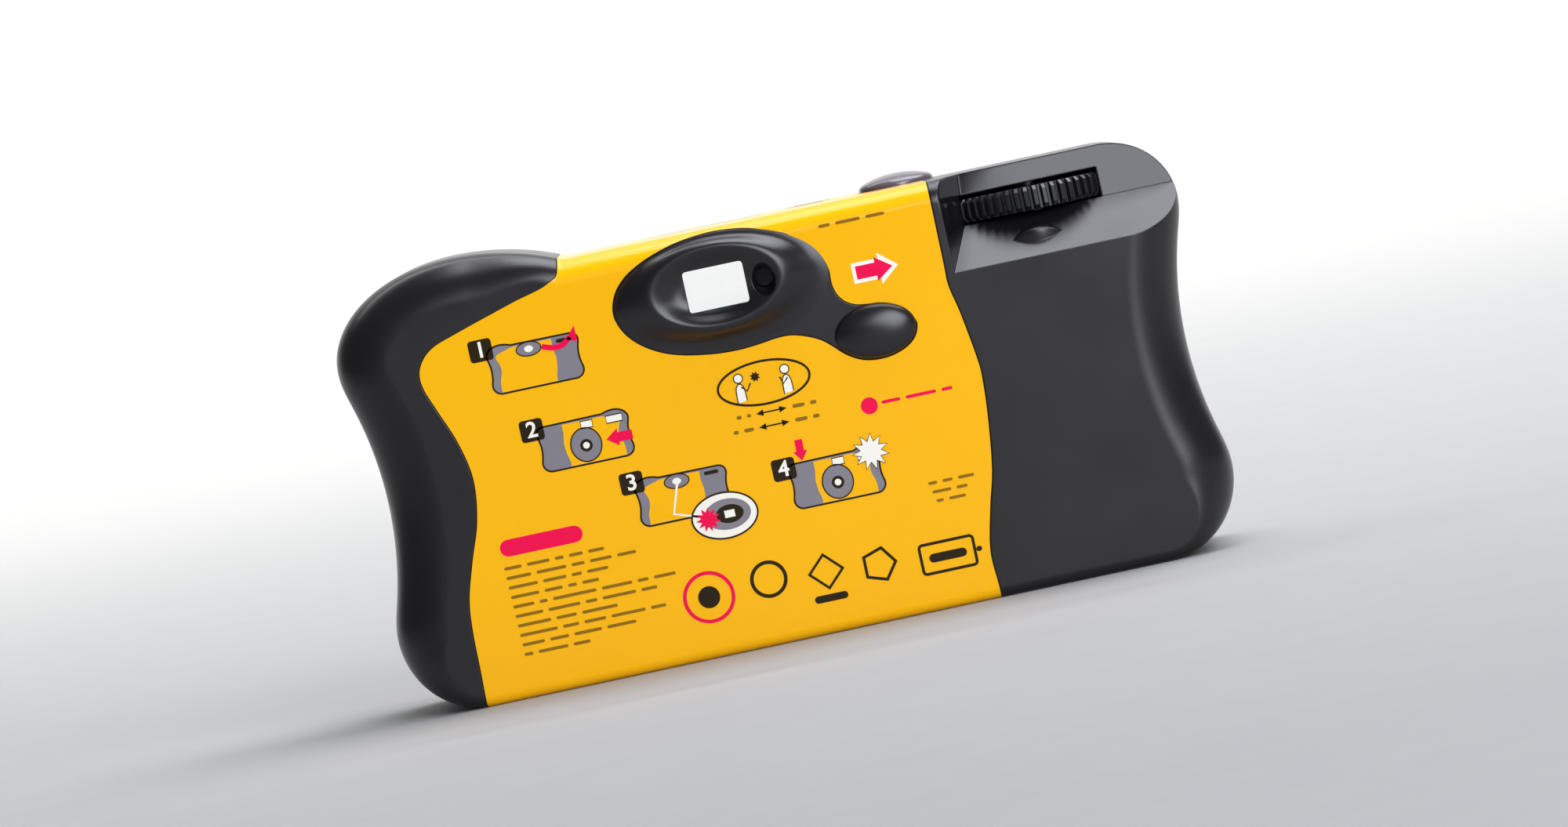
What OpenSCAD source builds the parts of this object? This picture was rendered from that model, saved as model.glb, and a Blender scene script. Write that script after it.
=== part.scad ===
// Single-use 35 mm film camera with a built-in flash, standing on its base.
// +Z is up and the lens looks along -Y. The origin is on the base, below the middle of the lens.
// The film is wound out onto the supply roll at the factory and goes back into its cartridge
// picture by picture, so the thumbwheel turns the cartridge's own spool.

/* [Film] */
// Radius of the film cartridge's shell
cartridge_r = 12.4; // [12:0.1:12.8]
// Length of the cartridge over its end caps
cartridge_len = 42; // [40:0.5:44]
// Radius of the cartridge spool
hub_r = 5; // [4.4:0.1:5.6]
// How far the film plane lies inside the cartridge's radius
lip_in = 3.4; // [3:0.1:3.8]
// How far the cartridge's lip reaches past its shell
lip_len = 0.8; // [0.4:0.1:1.2]
// Width of the film
film_w = 35; // [34:0.5:36]
// Thickness of the film
film_t = 0.14; // [0.1:0.01:0.2]
// Distance between perforations
perf_pitch = 4.75; // [4.5:0.05:5]
// Width of the picture gate
gate_w = 36; // [34:0.5:37]
// Height of the picture gate
gate_h = 24; // [22:0.5:24.5]
// Radius of the roll of unexposed film
roll_r = 8.4; // [7.6:0.1:9]
// Radius of the supply spool's core
core_r = 3.5; // [3:0.1:4]

/* [Covers] */
// Thickness of the two covers
wall = 1.6; // [1.4:0.1:1.8]
// Room from the cartridge chamber to the end of the body
end_room = 5.7; // [5.2:0.1:7]
// Room above the thumbwheel
head_room = 2; // [1.8:0.1:3]
// Plane where the front and rear covers meet
split_y = 3; // [2:0.25:3.5]
// How much narrower each lower bulge is than the upper one
low_pinch = 0.3; // [0:0.1:0.6]
// Radius of the lower corners
low_corner_r = 11; // [10:0.5:11.5]
// Radius of the upper corner at the thumb end
top_corner_r = 9; // [8.5:0.25:10]
// Radius of the hollow waist of each end
waist_r = 51; // [48:1:60]
// Rise of the hump over the flash
hump_rise = 3.4; // [2.5:0.1:4]
// Length of the hump's outer slope
hump_run = 18; // [16:0.5:20]
// Radius of the hump's inner slope
hump_r = 37; // [32:1:42]
// Rounding of the ends
side_fillet = 7.5; // [6:0.25:8]
// Rounding of the top edges
top_fillet = 3; // [2:0.25:3.5]
// Rounding of the hump's edges
hump_fillet = 6.5; // [5:0.25:7]
// Rounding of the base edges
base_fillet = 1.5; // [1:0.25:2]
// Thickness of the printed wrap
label_t = 0.3; // [0.2:0.05:0.4]

/* [Thumbwheel] */
// Radius of the thumbwheel
wheel_r = 12; // [11.6:0.1:12.3]
// Thickness of the thumbwheel
wheel_t = 3.2; // [2.8:0.1:3.6]
// Number of ribs round the rim
wheel_ribs = 58; // [48:2:66]
// Depth of the grooves between the ribs
rib_h = 0.7; // [0.4:0.05:0.9]

/* [Thumb recess] */
// Depth of the sloping ledge
ledge_depth = 7.8; // [7.4:0.1:8.2]
// Rise of the ledge over its depth
ledge_rise = 5.8; // [5.5:0.1:5.9]
// Lean of the wall above the ledge, in millimetres for each millimetre of height
lean = 0.2; // [0.1:0.02:0.24]
// Draft of the recess's end wall, for each millimetre of depth
draft = 0.37; // [0.3:0.01:0.4]
// Thickness of the recess's walls
recess_wall = 1; // [0.9:0.05:1.1]

/* [Viewfinder] */
// Place of the viewfinder beside the lens
eye_x = 5.63; // [5:0.1:6.5]
// Depth of the viewfinder's axis below the top
eye_drop = 7.95; // [7.6:0.05:8.4]
// Width of the eyepiece window
eye_w = 8.27; // [7.5:0.1:9]
// Height of the eyepiece window
eye_h = 5.7; // [5:0.1:6]
// Width of the front window
finder_w = 12.6; // [11.5:0.1:13]
// Height of the front window
finder_h = 9; // [8.4:0.1:9.2]
// Height of the raised ring round the eyepiece
eye_rise = 2.6; // [2:0.1:3]

/* [Lens and shutter] */
// Radius of the taking lens
lens_r = 4.5; // [4:0.1:5]
// Radius of the fixed stop behind the lens
stop_r = 1.6; // [1.2:0.1:1.8]
// Radius of the raised surround of the lens
surround_r = 15.5; // [14:0.5:16]
// Height of the raised surround
surround_rise = 2.6; // [2:0.1:3]
// Thickness of the shutter blade
blade_t = 0.3; // [0.2:0.05:0.35]

/* [Flash] */
// Place of the flash beside the lens
flash_x = 41; // [39:0.5:42]
// Width of the flash window
flash_w = 18; // [17:0.5:19]
// Height of the flash window
flash_h = 10; // [9:0.5:10.5]
// Radius of the flash button
charge_r = 5; // [4.5:0.1:5.5]
// Travel of the flash button
charge_travel = 1; // [0.6:0.1:1.1]
// Radius of the storage capacitor
capacitor_r = 5.6; // [5:0.1:5.8]
// Length of the storage capacitor
capacitor_len = 26; // [22:0.5:27]
// Radius of the battery
cell_r = 5.15; // [5:0.05:5.25]
// Length of the battery
cell_len = 44.5; // [43:0.5:45]

/* [Release] */
// Radius of the shutter button
button_r = 5.2; // [4.8:0.1:5.5]
// Height of the shutter button's dome above the top
button_rise = 1.8; // [1.2:0.1:2.2]
// Travel of the shutter button
button_travel = 1.2; // [0.8:0.1:1.4]
// Radius of the picture counter
counter_r = 6.2; // [5.5:0.1:6.4]

/* [Fits] */
// Clearance between pieces that don't touch
gap = 0.3; // [0.25:0.05:0.35]
// Running clearance of a shaft in its hole
run = 0.06; // [0.03:0.01:0.09]
// Clearance of a button or window in its opening
slip = 0.2; // [0.15:0.05:0.25]

/* [Hidden] */
$fn = 48;
black = "#2b2b2f";
grey = "#8d8f94";
clear = "#dfe8ee";
copper = "#b8763c";
tin = "#b9bcc0";

// Depth, worked out from the cartridge in its chamber, or the supply roll behind the flash button
frame_wall = 1.2;
chamber_gap = 0.5;
chamber_out = cartridge_r + chamber_gap + frame_wall;
film_y = cartridge_r - lip_in;
roll_gap = 0.8;
supply_out = roll_r + roll_gap + frame_wall;
supply_y = film_y - film_t / 2 - gap / 2 - roll_r;
contact_t = 0.3;
charge_stem = 1.6;
charge_room = slip + charge_stem + charge_travel + contact_t + 2 * gap;
in_back = max(chamber_out + gap, supply_out - supply_y + charge_room);
back = in_back + wall;
front = -back;
in_front = -in_back;
rail_h = 0.3;
rail_y = film_y - film_t / 2 - run;
gate_t = 2;
gate_y1 = rail_y - rail_h;
gate_y0 = gate_y1 - gate_t;

// Width, worked out from the gate with a chamber at each side
sprocket_room = 6.6;
supply_room = 8.6;
cart_x = -(gate_w / 2 + sprocket_room + chamber_out);
supply_x = gate_w / 2 + supply_room + supply_out;
half_w = chamber_out + end_room - cart_x;

// Height, worked out from the cartridge, the deck above it and the thumbwheel
cart_lift = 2.7;
cap_t = 0.8;
cart_z1 = cart_lift + cartridge_len;
film_z = cart_lift + cartridge_len / 2;
deck_rise = 1.3;
deck_t = 1.2;
deck_z0 = cart_z1 + deck_rise;
deck_z1 = deck_z0 + deck_t;
lever_room = 3.2;
wheel_z0 = deck_z1 + lever_room;
wheel_z1 = wheel_z0 + wheel_t;
in_top = wheel_z1 + head_room;
body_h = in_top + wall;
hump_h = body_h + hump_rise;

// Outline of the body, as seen from the front
low_c = [half_w - low_pinch - low_corner_r, low_corner_r];
up_c = [half_w - top_corner_r, body_h - top_corner_r];
up_step = up_c - low_c;
waist_a = ((waist_r + low_corner_r) ^ 2 - (waist_r + top_corner_r) ^ 2 + up_step * up_step)
    / (2 * norm(up_step));
waist_b = sqrt((waist_r + low_corner_r) ^ 2 - waist_a ^ 2);
waist_c = low_c + (waist_a * up_step + waist_b * [up_step.y, -up_step.x]) / norm(up_step);
low_turn = atan2(waist_c.y - low_c.y, waist_c.x - low_c.x);
up_turn = atan2(waist_c.y - up_c.y, waist_c.x - up_c.x);
hump_x = half_w - hump_run;

// Thumb recess
slope = ledge_rise / ledge_depth;
ledge_y = back - ledge_depth;
ledge_z1 = wheel_z0 - gap;
ledge_z0 = ledge_z1 - ledge_rise;
recess_x = cart_x + wheel_r + 0.4;
slot_y = ledge_y - recess_wall - gap;
slot_half = sqrt(wheel_r ^ 2 - slot_y ^ 2) + gap;

// Sprocket that the film turns, eight teeth to a picture
teeth = 8;
pitch_r = teeth * perf_pitch / (2 * PI);
tooth_h = 0.9;
sprocket_y = film_y - pitch_r;
sprocket_x = cart_x + sqrt((cartridge_r + pitch_r + tooth_h + gap) ^ 2 - sprocket_y ^ 2);
perf_z = film_w / 2 - 3.4;
sprocket_z = film_z + perf_z;
sprocket_t = 1.2;
shaft_r = 1.5;
bearing_drop = 4.2;
cam_r = 3.6;

// Hooks that snap the covers together
hook_w = 6;
hook_len = 3;
hook_t = 1.2;

// Lens stack, from the front face inwards
lens_z = film_z;
holder_y0 = in_front + 1.2;
holder_t = 1;
lens_seat_y = holder_y0 - 0.4;
blade_room = 1;
board_y0 = holder_y0 + holder_t + blade_room;
board_t = 1.2;
board_y1 = board_y0 + board_t;
blade_y = board_y0 - gap - blade_t;
board_half = 10.2;
board_low = lens_z - board_half;
board_high = lens_z + 17.5;
barrel_r = lens_r + 1.3;
ring_t = 0.8;
throat_w = 16;
throat_h = 12.4;

// Viewfinder
eye_z = body_h - eye_drop;
finder_wall = 0.7;
pane_t = 1.3;
lamp_r = 1.2;
lamp_x = eye_x - eye_w / 2 - finder_wall - lamp_r - 2 * gap;
pipe_y0 = in_back - 5;
eye_c = [eye_x - 0.6, eye_z - 0.6];
eye_a = 15;
eye_b = 8.2;
lobe_c = [eye_x - 19.9, eye_z - 10.1];
lobe_a = 5.7;
lobe_b = 3.85;

// Mechanism on the deck
deck_x0 = cart_x - 12.8;
deck_x1 = eye_x - finder_w / 2 - finder_wall - 0.5;
deck_y0 = in_front + 1.2;
deck_y1 = ledge_y - recess_wall - 1.8;
post_r = 1.2;
lever_x = deck_x1 - 7.3;
lever_y = deck_y0 + 8.7;
lever_z0 = deck_z1 + gap;
lever_t = 1.5;
finger_w = 1;
meter_x = lever_x - 2;
meter_y = lever_y + 7.7;
meter_len = norm([sprocket_x - meter_x, sprocket_y - meter_y]) - cam_r - 2 * gap;
meter_turn = atan2(sprocket_y - meter_y, sprocket_x - meter_x);
pawl_x = cart_x + 15.2;
pawl_y = deck_y0 + 3.2;
pawl_t = 2;
pawl_reach = norm([pawl_x - cart_x, pawl_y]) - wheel_r - 2 * gap;
pawl_turn = atan2(-pawl_y, cart_x - pawl_x);
counter_t = 1.1;
counter_z0 = lever_z0 + lever_t + 2.3;
counter_x = lever_x;
counter_y = lever_y - counter_r + 1.6;
counter_w = 4;
counter_d = 3.2;

// Shutter blade, which the lever's finger swings aside
pivot_r = 0.9;
pivot_x = lever_x + 2.5;
pivot_z = lens_z + 13.2;
tab_w = 1.4;
tab_top = deck_z0 + 0.6;
finger_x1 = pivot_x - tab_w / 2 - 0.6;
finger_y = blade_y - 0.5;
finger_low = deck_z0 - 1;

// Release button on the top
button_x = recess_x + 4.8;
button_y = lever_y - 0.7;
flange_t = 1;
flange_out = 0.4;
flange_z1 = in_top - slip;
stem_r = 1.6;
stem_z0 = lever_z0 + lever_t + button_travel + 2 * gap;
spring_wire = 0.25;
spring_r = stem_r + gap + 2 * spring_wire;
spring_z0 = deck_z1 + spring_wire + run;
spring_z1 = flange_z1 - flange_t - spring_wire - run;
spring_turns = 5;

// Flash, its board and its battery
spool_z0 = wall + gap + frame_wall + gap;
spool_z1 = film_z + film_w / 2 + 0.4;
ceiling_t = 0.8;
ceiling_z1 = spool_z1 + gap + ceiling_t;
pcb_t = 1.2;
pcb_z1 = ceiling_z1 + pcb_t;
pcb_x0 = eye_x + finder_w / 2 + finder_wall + 1.9;
pcb_x1 = flash_x + 11;
pcb_y0 = in_front + 1.4;
pcb_y1 = in_back - 1.8;
front_rim = 2;
flash_lip = 0.8;
reflector_t = 0.5;
reflector_h = flash_h - 1;
reflector_w = flash_w - 2;
reflector_y0 = in_front + 1;
reflector_d = 7.4;
flash_z = pcb_z1 + gap + reflector_h / 2 + reflector_t;
tube_r = 1.4;
tube_y = reflector_y0 + reflector_d - 2.6;
charge_x = flash_x - 2.5;
charge_z = lens_z + 9.8;
charge_flange_y = in_front + slip;
charge_stem_y = charge_flange_y + charge_stem;
charge_leaf_y = charge_stem_y + charge_travel + gap;
cell_y = in_front + gap + cell_r;
cell_z = wall + gap + cell_r;
cell_x0 = cart_x + chamber_out + 4.3;
cell_x1 = cell_x0 + cell_len;
plate_t = 0.5;
rib_x1 = cell_x0 - run - plate_t;
rib_t = 1.2;

// Film door under the cartridge
door_x0 = cart_x - 14;
pin_r = 0.5;
pin_x = cart_x + 13.7;
pin_z = wall / 2;
door_half = in_back - 1.6;
door_top = low_corner_r / 2 - 1;
pad_r = 8;

function clamp(v) = max(0, min(1, v));

// Half the outer height of the tapered viewfinder at depth y
function finder_half(y) = finder_wall + finder_h / 2
    - (y - in_front) / (in_back - in_front) * (finder_h - eye_h) / 2;

// Arc of outline points, each as [x, z, normal x, normal z]
function arc(c, r, from, to, n, side = 1, skip = 0) = [
    for (i = [skip : n])
        let (a = from + (to - from) * i / n)
        [c.x + r * cos(a), c.y + r * sin(a), side * cos(a), side * sin(a)]
];

// Outer slope of the hump, a quarter of an ellipse
function hump_out(d, n) = [
    for (i = [1 : n])
        let (a = 90 * i / n, rx = hump_run - d, rz = hump_h - up_c.y - d, m = [cos(a) / rx, sin(a) / rz])
        concat([hump_x + rx * cos(a), up_c.y + rz * sin(a)], m / norm(m))
];

// Inner slope of the hump, down to the flat top
function hump_end(d) = 180 - asin((body_h - d - hump_h + hump_r) / (hump_r - d));

// Outline of the body, drawn in by d
function outline(d) = concat(
    arc(low_c, low_corner_r - d, -90, low_turn, 8),
    arc(waist_c, waist_r + d, 180 + low_turn, 180 + up_turn, 6, -1, 1),
    arc(up_c, top_corner_r - d, up_turn, 0, 2, 1, 1),
    hump_out(d, 8),
    arc([hump_x, hump_h - hump_r], hump_r - d, 90, hump_end(d), 4, 1, 1),
    arc([-up_c.x, up_c.y], top_corner_r - d, 90, 180 - up_turn, 8),
    arc([-waist_c.x, waist_c.y], waist_r + d, -up_turn, -low_turn, 6, -1, 1),
    arc([-low_c.x, low_c.y], low_corner_r - d, 180 - low_turn, 270, 8, 1, 1)
);

// Rounding at an outline point: the ends, the hump, the top and the base each have their own
function rounding(p) =
    let (
        on_hump = clamp((p[0] - hump_x + 14) / 10),
        flat = p[3] < 0 ? base_fillet : top_fillet + (hump_fillet - top_fillet) * on_hump
    )
    flat + (side_fillet - flat) * p[2] * p[2];

// Ring of the body at angle a of its rounding, on the back (side 1) or the front (side -1)
function body_ring(d, a, side) = [
    for (p = outline(d))
        let (f = max(rounding(p) - d, 0.4), e = f * (1 - cos(a)))
        [p[0] - p[2] * e, side * (back - d - f * (1 - sin(a))), p[1] - p[3] * e]
];

function ellipse_points(c, a, b, n = 40) = [
    for (i = [0 : n - 1]) c + [a * cos(360 * i / n), b * sin(360 * i / n)]
];
function ellipse_ring(c, a, b, y) = [for (p = ellipse_points(c, a, b)) [p.x, y, p.y]];
function rect_ring(c, w, h, y) = [
    [c.x - w / 2, y, c.y - h / 2], [c.x + w / 2, y, c.y - h / 2],
    [c.x + w / 2, y, c.y + h / 2], [c.x - w / 2, y, c.y + h / 2]
];

// Smooth curve through hand-placed points
function curve_at(p, t) = 0.5 * (2 * p[1] + (p[2] - p[0]) * t
    + (2 * p[0] - 5 * p[1] + 4 * p[2] - p[3]) * t ^ 2
    + (3 * p[1] - p[0] - 3 * p[2] + p[3]) * t ^ 3);
function curve(p, n) = [
    for (i = [0 : len(p) - 2], k = [0 : n - 1])
        curve_at([p[max(i - 1, 0)], p[i], p[i + 1], p[min(i + 2, len(p) - 1)]], k / n)
];

// Solid through rings of points that run the same way round, from low y to high y or out and in
module ring_loft(rings) {
    n = len(rings[0]);
    last = (len(rings) - 1) * n;
    middle = last + n;
    share = [for (i = [1 : n]) 1 / n];
    polyhedron(
        points = concat([for (ring = rings) each ring], [share * rings[0], share * rings[len(rings) - 1]]),
        faces = concat(
            [for (i = [0 : n - 1]) [middle, (i + 1) % n, i]],
            [
                for (j = [0 : len(rings) - 2], i = [0 : n - 1])
                    let (k = (i + 1) % n, a = j * n, b = a + n)
                    each [[a + i, a + k, b + k], [a + i, b + k, b + i]]
            ],
            [for (i = [0 : n - 1]) [middle + 1, last + i, last + (i + 1) % n]]
        )
    );
}

module box(x0, x1, y0, y1, z0, z1) {
    translate([x0, y0, z0])
        cube([x1 - x0, y1 - y0, z1 - z0]);
}

module rod_x(y, z, r, x0, x1) {
    translate([x0, y, z])
        rotate([0, 90, 0])
            cylinder(r = r, h = x1 - x0);
}

module rod_y(x, z, r, y0, y1) {
    translate([x, y1, z])
        rotate([90, 0, 0])
            cylinder(r = r, h = y1 - y0);
}

module rod_z(x, y, r, z0, z1) {
    translate([x, y, z0])
        cylinder(r = r, h = z1 - z0);
}

// Flat shape drawn in x and z, given a depth from y0 to y1
module slab(y0, y1) {
    translate([0, y1, 0])
        rotate([90, 0, 0])
            linear_extrude(y1 - y0)
                children();
}

// Flat shape drawn in y and z, given a length from x0 to x1
module bar(x0, x1) {
    translate([x0, 0, 0])
        rotate([90, 0, 90])
            linear_extrude(x1 - x0)
                children();
}

// Flat arm with round ends, from the origin along angle a
module arm(a, len, w) {
    rotate(a)
        translate([0, -w / 2])
            square([len - w / 2, w]);
    rotate(a)
        translate([len - w / 2, 0])
            circle(w / 2);
}

// Coil spring of round wire about the z axis
module coil(r, wire, z0, z1, turns, steps = 12, sides = 6) {
    n = turns * steps;
    ring_loft([
        for (i = [0 : n])
            let (a = -360 * i / steps, z = z0 + (z1 - z0) * i / n)
            [
                for (k = [0 : sides - 1])
                    let (b = 360 * k / sides, q = r + wire * cos(b))
                    [q * cos(a), q * sin(a), z + wire * sin(b)]
            ]
    ]);
}

// The body's rounded block, drawn in by d: whole, or one side of the plane y = at
module body_block(d) {
    ring_loft(concat(
        [for (a = [90 : -22.5 : 0]) body_ring(d, a, -1)],
        [for (a = [0 : 22.5 : 90]) body_ring(d, a, 1)]
    ));
}

module back_block(d, at) {
    intersection() {
        body_block(d);
        box(-2 * half_w, 2 * half_w, at, 2 * back, -hump_h, 2 * hump_h);
    }
}

module front_block(d, at) {
    intersection() {
        body_block(d);
        box(-2 * half_w, 2 * half_w, 2 * front, at, -hump_h, 2 * hump_h);
    }
}

// Outline of the wrap, as seen from the front, grown by e. The flash side comes first, measured in
// from the end and down from the top, then the thumb side, measured from the recess and the base.
function label_outline(e) = concat(
    curve([
        for (p = [
            [32.7, -11], [32.6, 0.3], [30.7, 2.8], [25.5, 4.3], [17.5, 6.7], [13.6, 8.1], [11.6, 10.2],
            [11.3, 12.7], [12.5, 16.2], [14.4, 21.2], [15.4, 26.5], [14.7, 32.2], [13, 37.2], [11.5, 42.2],
            [11, 46.5], [10.9, 52.2], [10.8, 56.2], [10.7, 64]
        ])
            [half_w - p.x + e, body_h - p.y]
    ], 3),
    curve([
        for (p = [
            [-1.7, -6], [-1.7, 1], [-1.9, 6.5], [-0.7, 12.3], [0.6, 17.3], [1.5, 24], [1.9, 29.8],
            [1.7, 33], [0.8, 39], [0, 43], [0, 47], [0, 68]
        ])
            [recess_x + 1.2 - p.x - e, p.y]
    ], 3)
);

// Outline of the black eyepiece moulding that shows through the wrap, with its lower lobe
module eyepiece_shape(e) {
    upper = lobe_c + [0.4, 7.7];
    lower = lobe_c + [12.3, -5.3];
    polygon(ellipse_points(eye_c, eye_a + e, eye_b + e));
    polygon(ellipse_points(lobe_c, lobe_a + e, lobe_b + e));
    difference() {
        polygon([
            lobe_c + [0.4, 0], upper, eye_c + [-12, 0], eye_c + [-3, -7], lower + [2, 5], lower + [-6, 2]
        ]);
        translate(upper)
            circle(3.9 - e);
        translate(lower)
            circle(7.2 - e);
    }
}

// Black area of the front that shows through the wrap: lens, finder and flash
module front_shape(e) {
    translate([0, lens_z])
        circle(surround_r + 1 + e);
    side = finder_w / 2 + front_rim + e;
    polygon([
        [-13.5 - e, lens_z + 8], [eye_x - side, eye_z - 5], [eye_x - side, body_h + 9],
        [eye_x + side, body_h + 9], [eye_x + side, eye_z - 5], [14 + e, lens_z + 8]
    ]);
    translate([flash_x - flash_w / 2 - front_rim - e, flash_z - flash_h / 2 - front_rim - e])
        square([flash_w + 20, flash_h + 20]);
    translate([charge_x, charge_z])
        circle(charge_r + 1 + e);
}

// Block that the wrap fills, grown by e sideways
module label_block(e) {
    difference() {
        slab(front - 8, back + 8)
            polygon(label_outline(e));
        slab(0, back + 9)
            eyepiece_shape(-e);
        slab(front - 9, -8)
            front_shape(-e);
        rod_z(button_x, button_y, button_r + 0.6 - e, body_h - 9, body_h + 9);
        counter_box(1 - e, body_h - 9, body_h + 9);
    }
}

// Block over the counter's window, grown by e
module counter_box(e, z0, z1) {
    box(
        counter_x - counter_w / 2 - e, counter_x + counter_w / 2 + e,
        counter_y - counter_d / 2 - e, counter_y + counter_d / 2 + e, z0, z1
    );
}

// Recess for the thumb, moved in by t to leave a wall
module recess(t) {
    high = body_h + 8;
    intersection() {
        translate([0, -t, -t])
            bar(-half_w - 9, recess_x + 9)
                polygon([
                    [back + 8, ledge_z0 - 8 * slope], [ledge_y, ledge_z1],
                    [ledge_y - lean * (high - ledge_z1), high], [back + 8, high]
                ]);
        translate([t, 0, 0])
            linear_extrude(high + 9)
                polygon([
                    [-half_w - 20, back + 9], [recess_x + draft * 9, back + 9],
                    [recess_x - draft * back, 0], [-half_w - 20, 0]
                ]);
    }
}

// Space that the film door and its hinge take out of the covers
module door_space(e) {
    box(door_x0 - e, pin_x, -door_half - e, door_half + e, -1, door_top + e);
    box(pin_x - 1, pin_x + wall / 2 + e, -door_half - e, door_half + e, -1, pin_z);
    rod_y(pin_x, pin_z, wall / 2 + e, -door_half - e, door_half + e);
    rod_y(pin_x, pin_z, pin_r + run / 2, -door_half - 1.2, door_half + 1.2);
}

// Hooks of the front cover that reach under the rear one's top and over its base
module snap_hooks() {
    root = split_y - 4;
    for (x = [eye_x + 10.5, lever_x - 3.5]) {
        box(x, x + hook_w, root, split_y + hook_len, in_top - hook_t, in_top - run);
        box(x, x + hook_w, root, split_y, in_top - hook_t, in_top + wall / 4);
    }
    for (x = [-10, 12]) {
        box(x, x + hook_w, root, split_y + hook_len, wall + run, wall + hook_t);
        box(x, x + hook_w, root, split_y, wall * 0.75, wall + hook_t);
    }
}

module rear_cover() {
    color(black)
    difference() {
        union() {
            difference() {
                back_block(0, split_y);
                difference() {
                    label_block(slip);
                    body_block(label_t);
                }
                difference() {
                    back_block(wall, split_y - 1);
                    recess(recess_wall);
                }
            }
            // Raised ring round the eyepiece
            ring_loft([
                ellipse_ring(eye_c, eye_a - 0.1, eye_b - 0.1, back - 1),
                ellipse_ring(eye_c, eye_a - 0.1, eye_b - 0.1, back),
                ellipse_ring(eye_c, eye_a - 1.4, eye_b - 0.9, back + eye_rise * 0.6),
                ellipse_ring(eye_c + [0.2, 0.2], eye_a - 3.6, eye_b - 1.9, back + eye_rise),
                ellipse_ring(eye_c + [0.5, 0.7], eye_a - 5.6, eye_b - 2.4, back + eye_rise),
                ellipse_ring(eye_c + [0.6, 0.8], eye_a - 7, eye_b - 3.3, back + 0.6)
            ]);
            // Lobe below it
            ring_loft([
                ellipse_ring(lobe_c, lobe_a - 0.1, lobe_b - 0.1, back - 1),
                ellipse_ring(lobe_c, lobe_a - 0.1, lobe_b - 0.1, back),
                ellipse_ring(lobe_c, lobe_a - 0.6, lobe_b - 0.5, back + 0.8),
                ellipse_ring(lobe_c, lobe_a - 1.8, lobe_b - 1.3, back + 1.3),
                ellipse_ring(lobe_c, lobe_a - 3.8, lobe_b - 2.6, back + 1.6)
            ]);
            // Ribs that hold the film flat
            for (z = [-0.48 * film_w, -0.17 * film_w, 0.17 * film_w, 0.48 * film_w])
                box(
                    -gate_w / 2 - 4, gate_w / 2 + 8, film_y + film_t / 2 + gap, in_back + 0.4,
                    film_z + z - 0.5, film_z + z + 0.5
                );
        }
        recess(0);
        box(
            cart_x - slot_half, cart_x + slot_half, split_y + 0.5, back + 1,
            wheel_z0 - gap, wheel_z1 + 2 * gap
        );
        box(
            eye_x - eye_w / 2, eye_x + eye_w / 2, in_back - 1, back + 5,
            eye_z - eye_h / 2, eye_z + eye_h / 2
        );
        rod_y(lamp_x, eye_z, lamp_r + run, in_back - 1, back + 5);
        door_space(gap);
    }
}

module front_cover() {
    color(black)
    difference() {
        union() {
            difference() {
                front_block(0, split_y);
                difference() {
                    label_block(slip);
                    body_block(label_t);
                }
                front_block(wall, split_y + 1);
            }
            // Raised surround of the lens
            translate([0, front, lens_z])
                rotate([90, 0, 0])
                    rotate_extrude()
                        polygon([
                            [barrel_r + slip, -0.8], [surround_r, -0.8], [surround_r, 0],
                            [surround_r - 2.2, surround_rise], [surround_r - 3.4, surround_rise],
                            [barrel_r + slip, 0.6]
                        ]);
            snap_hooks();
        }
        rod_y(0, lens_z, barrel_r + slip, front - 9, in_front + 1);
        box(
            eye_x - finder_w / 2 - slip, eye_x + finder_w / 2 + slip, front - 1, in_front + 1,
            eye_z - finder_h / 2 - slip, eye_z + finder_h / 2 + slip
        );
        box(
            flash_x - flash_w / 2 - slip, flash_x + flash_w / 2 + slip, front - 1, in_front + 4,
            flash_z - flash_h / 2 - slip, flash_z + flash_h / 2 + slip
        );
        rod_y(charge_x, charge_z, charge_r + slip, front - 1, in_front + 1);
        rod_z(button_x, button_y, button_r + slip, in_top - 1, body_h + 1);
        counter_box(0, in_top - 1, body_h + 1);
        door_space(gap);
    }
}

module wrap_label() {
    color("#f6b800")
    difference() {
        intersection() {
            body_block(0);
            label_block(0);
        }
        body_block(label_t - run / 2);
    }
}

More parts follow.
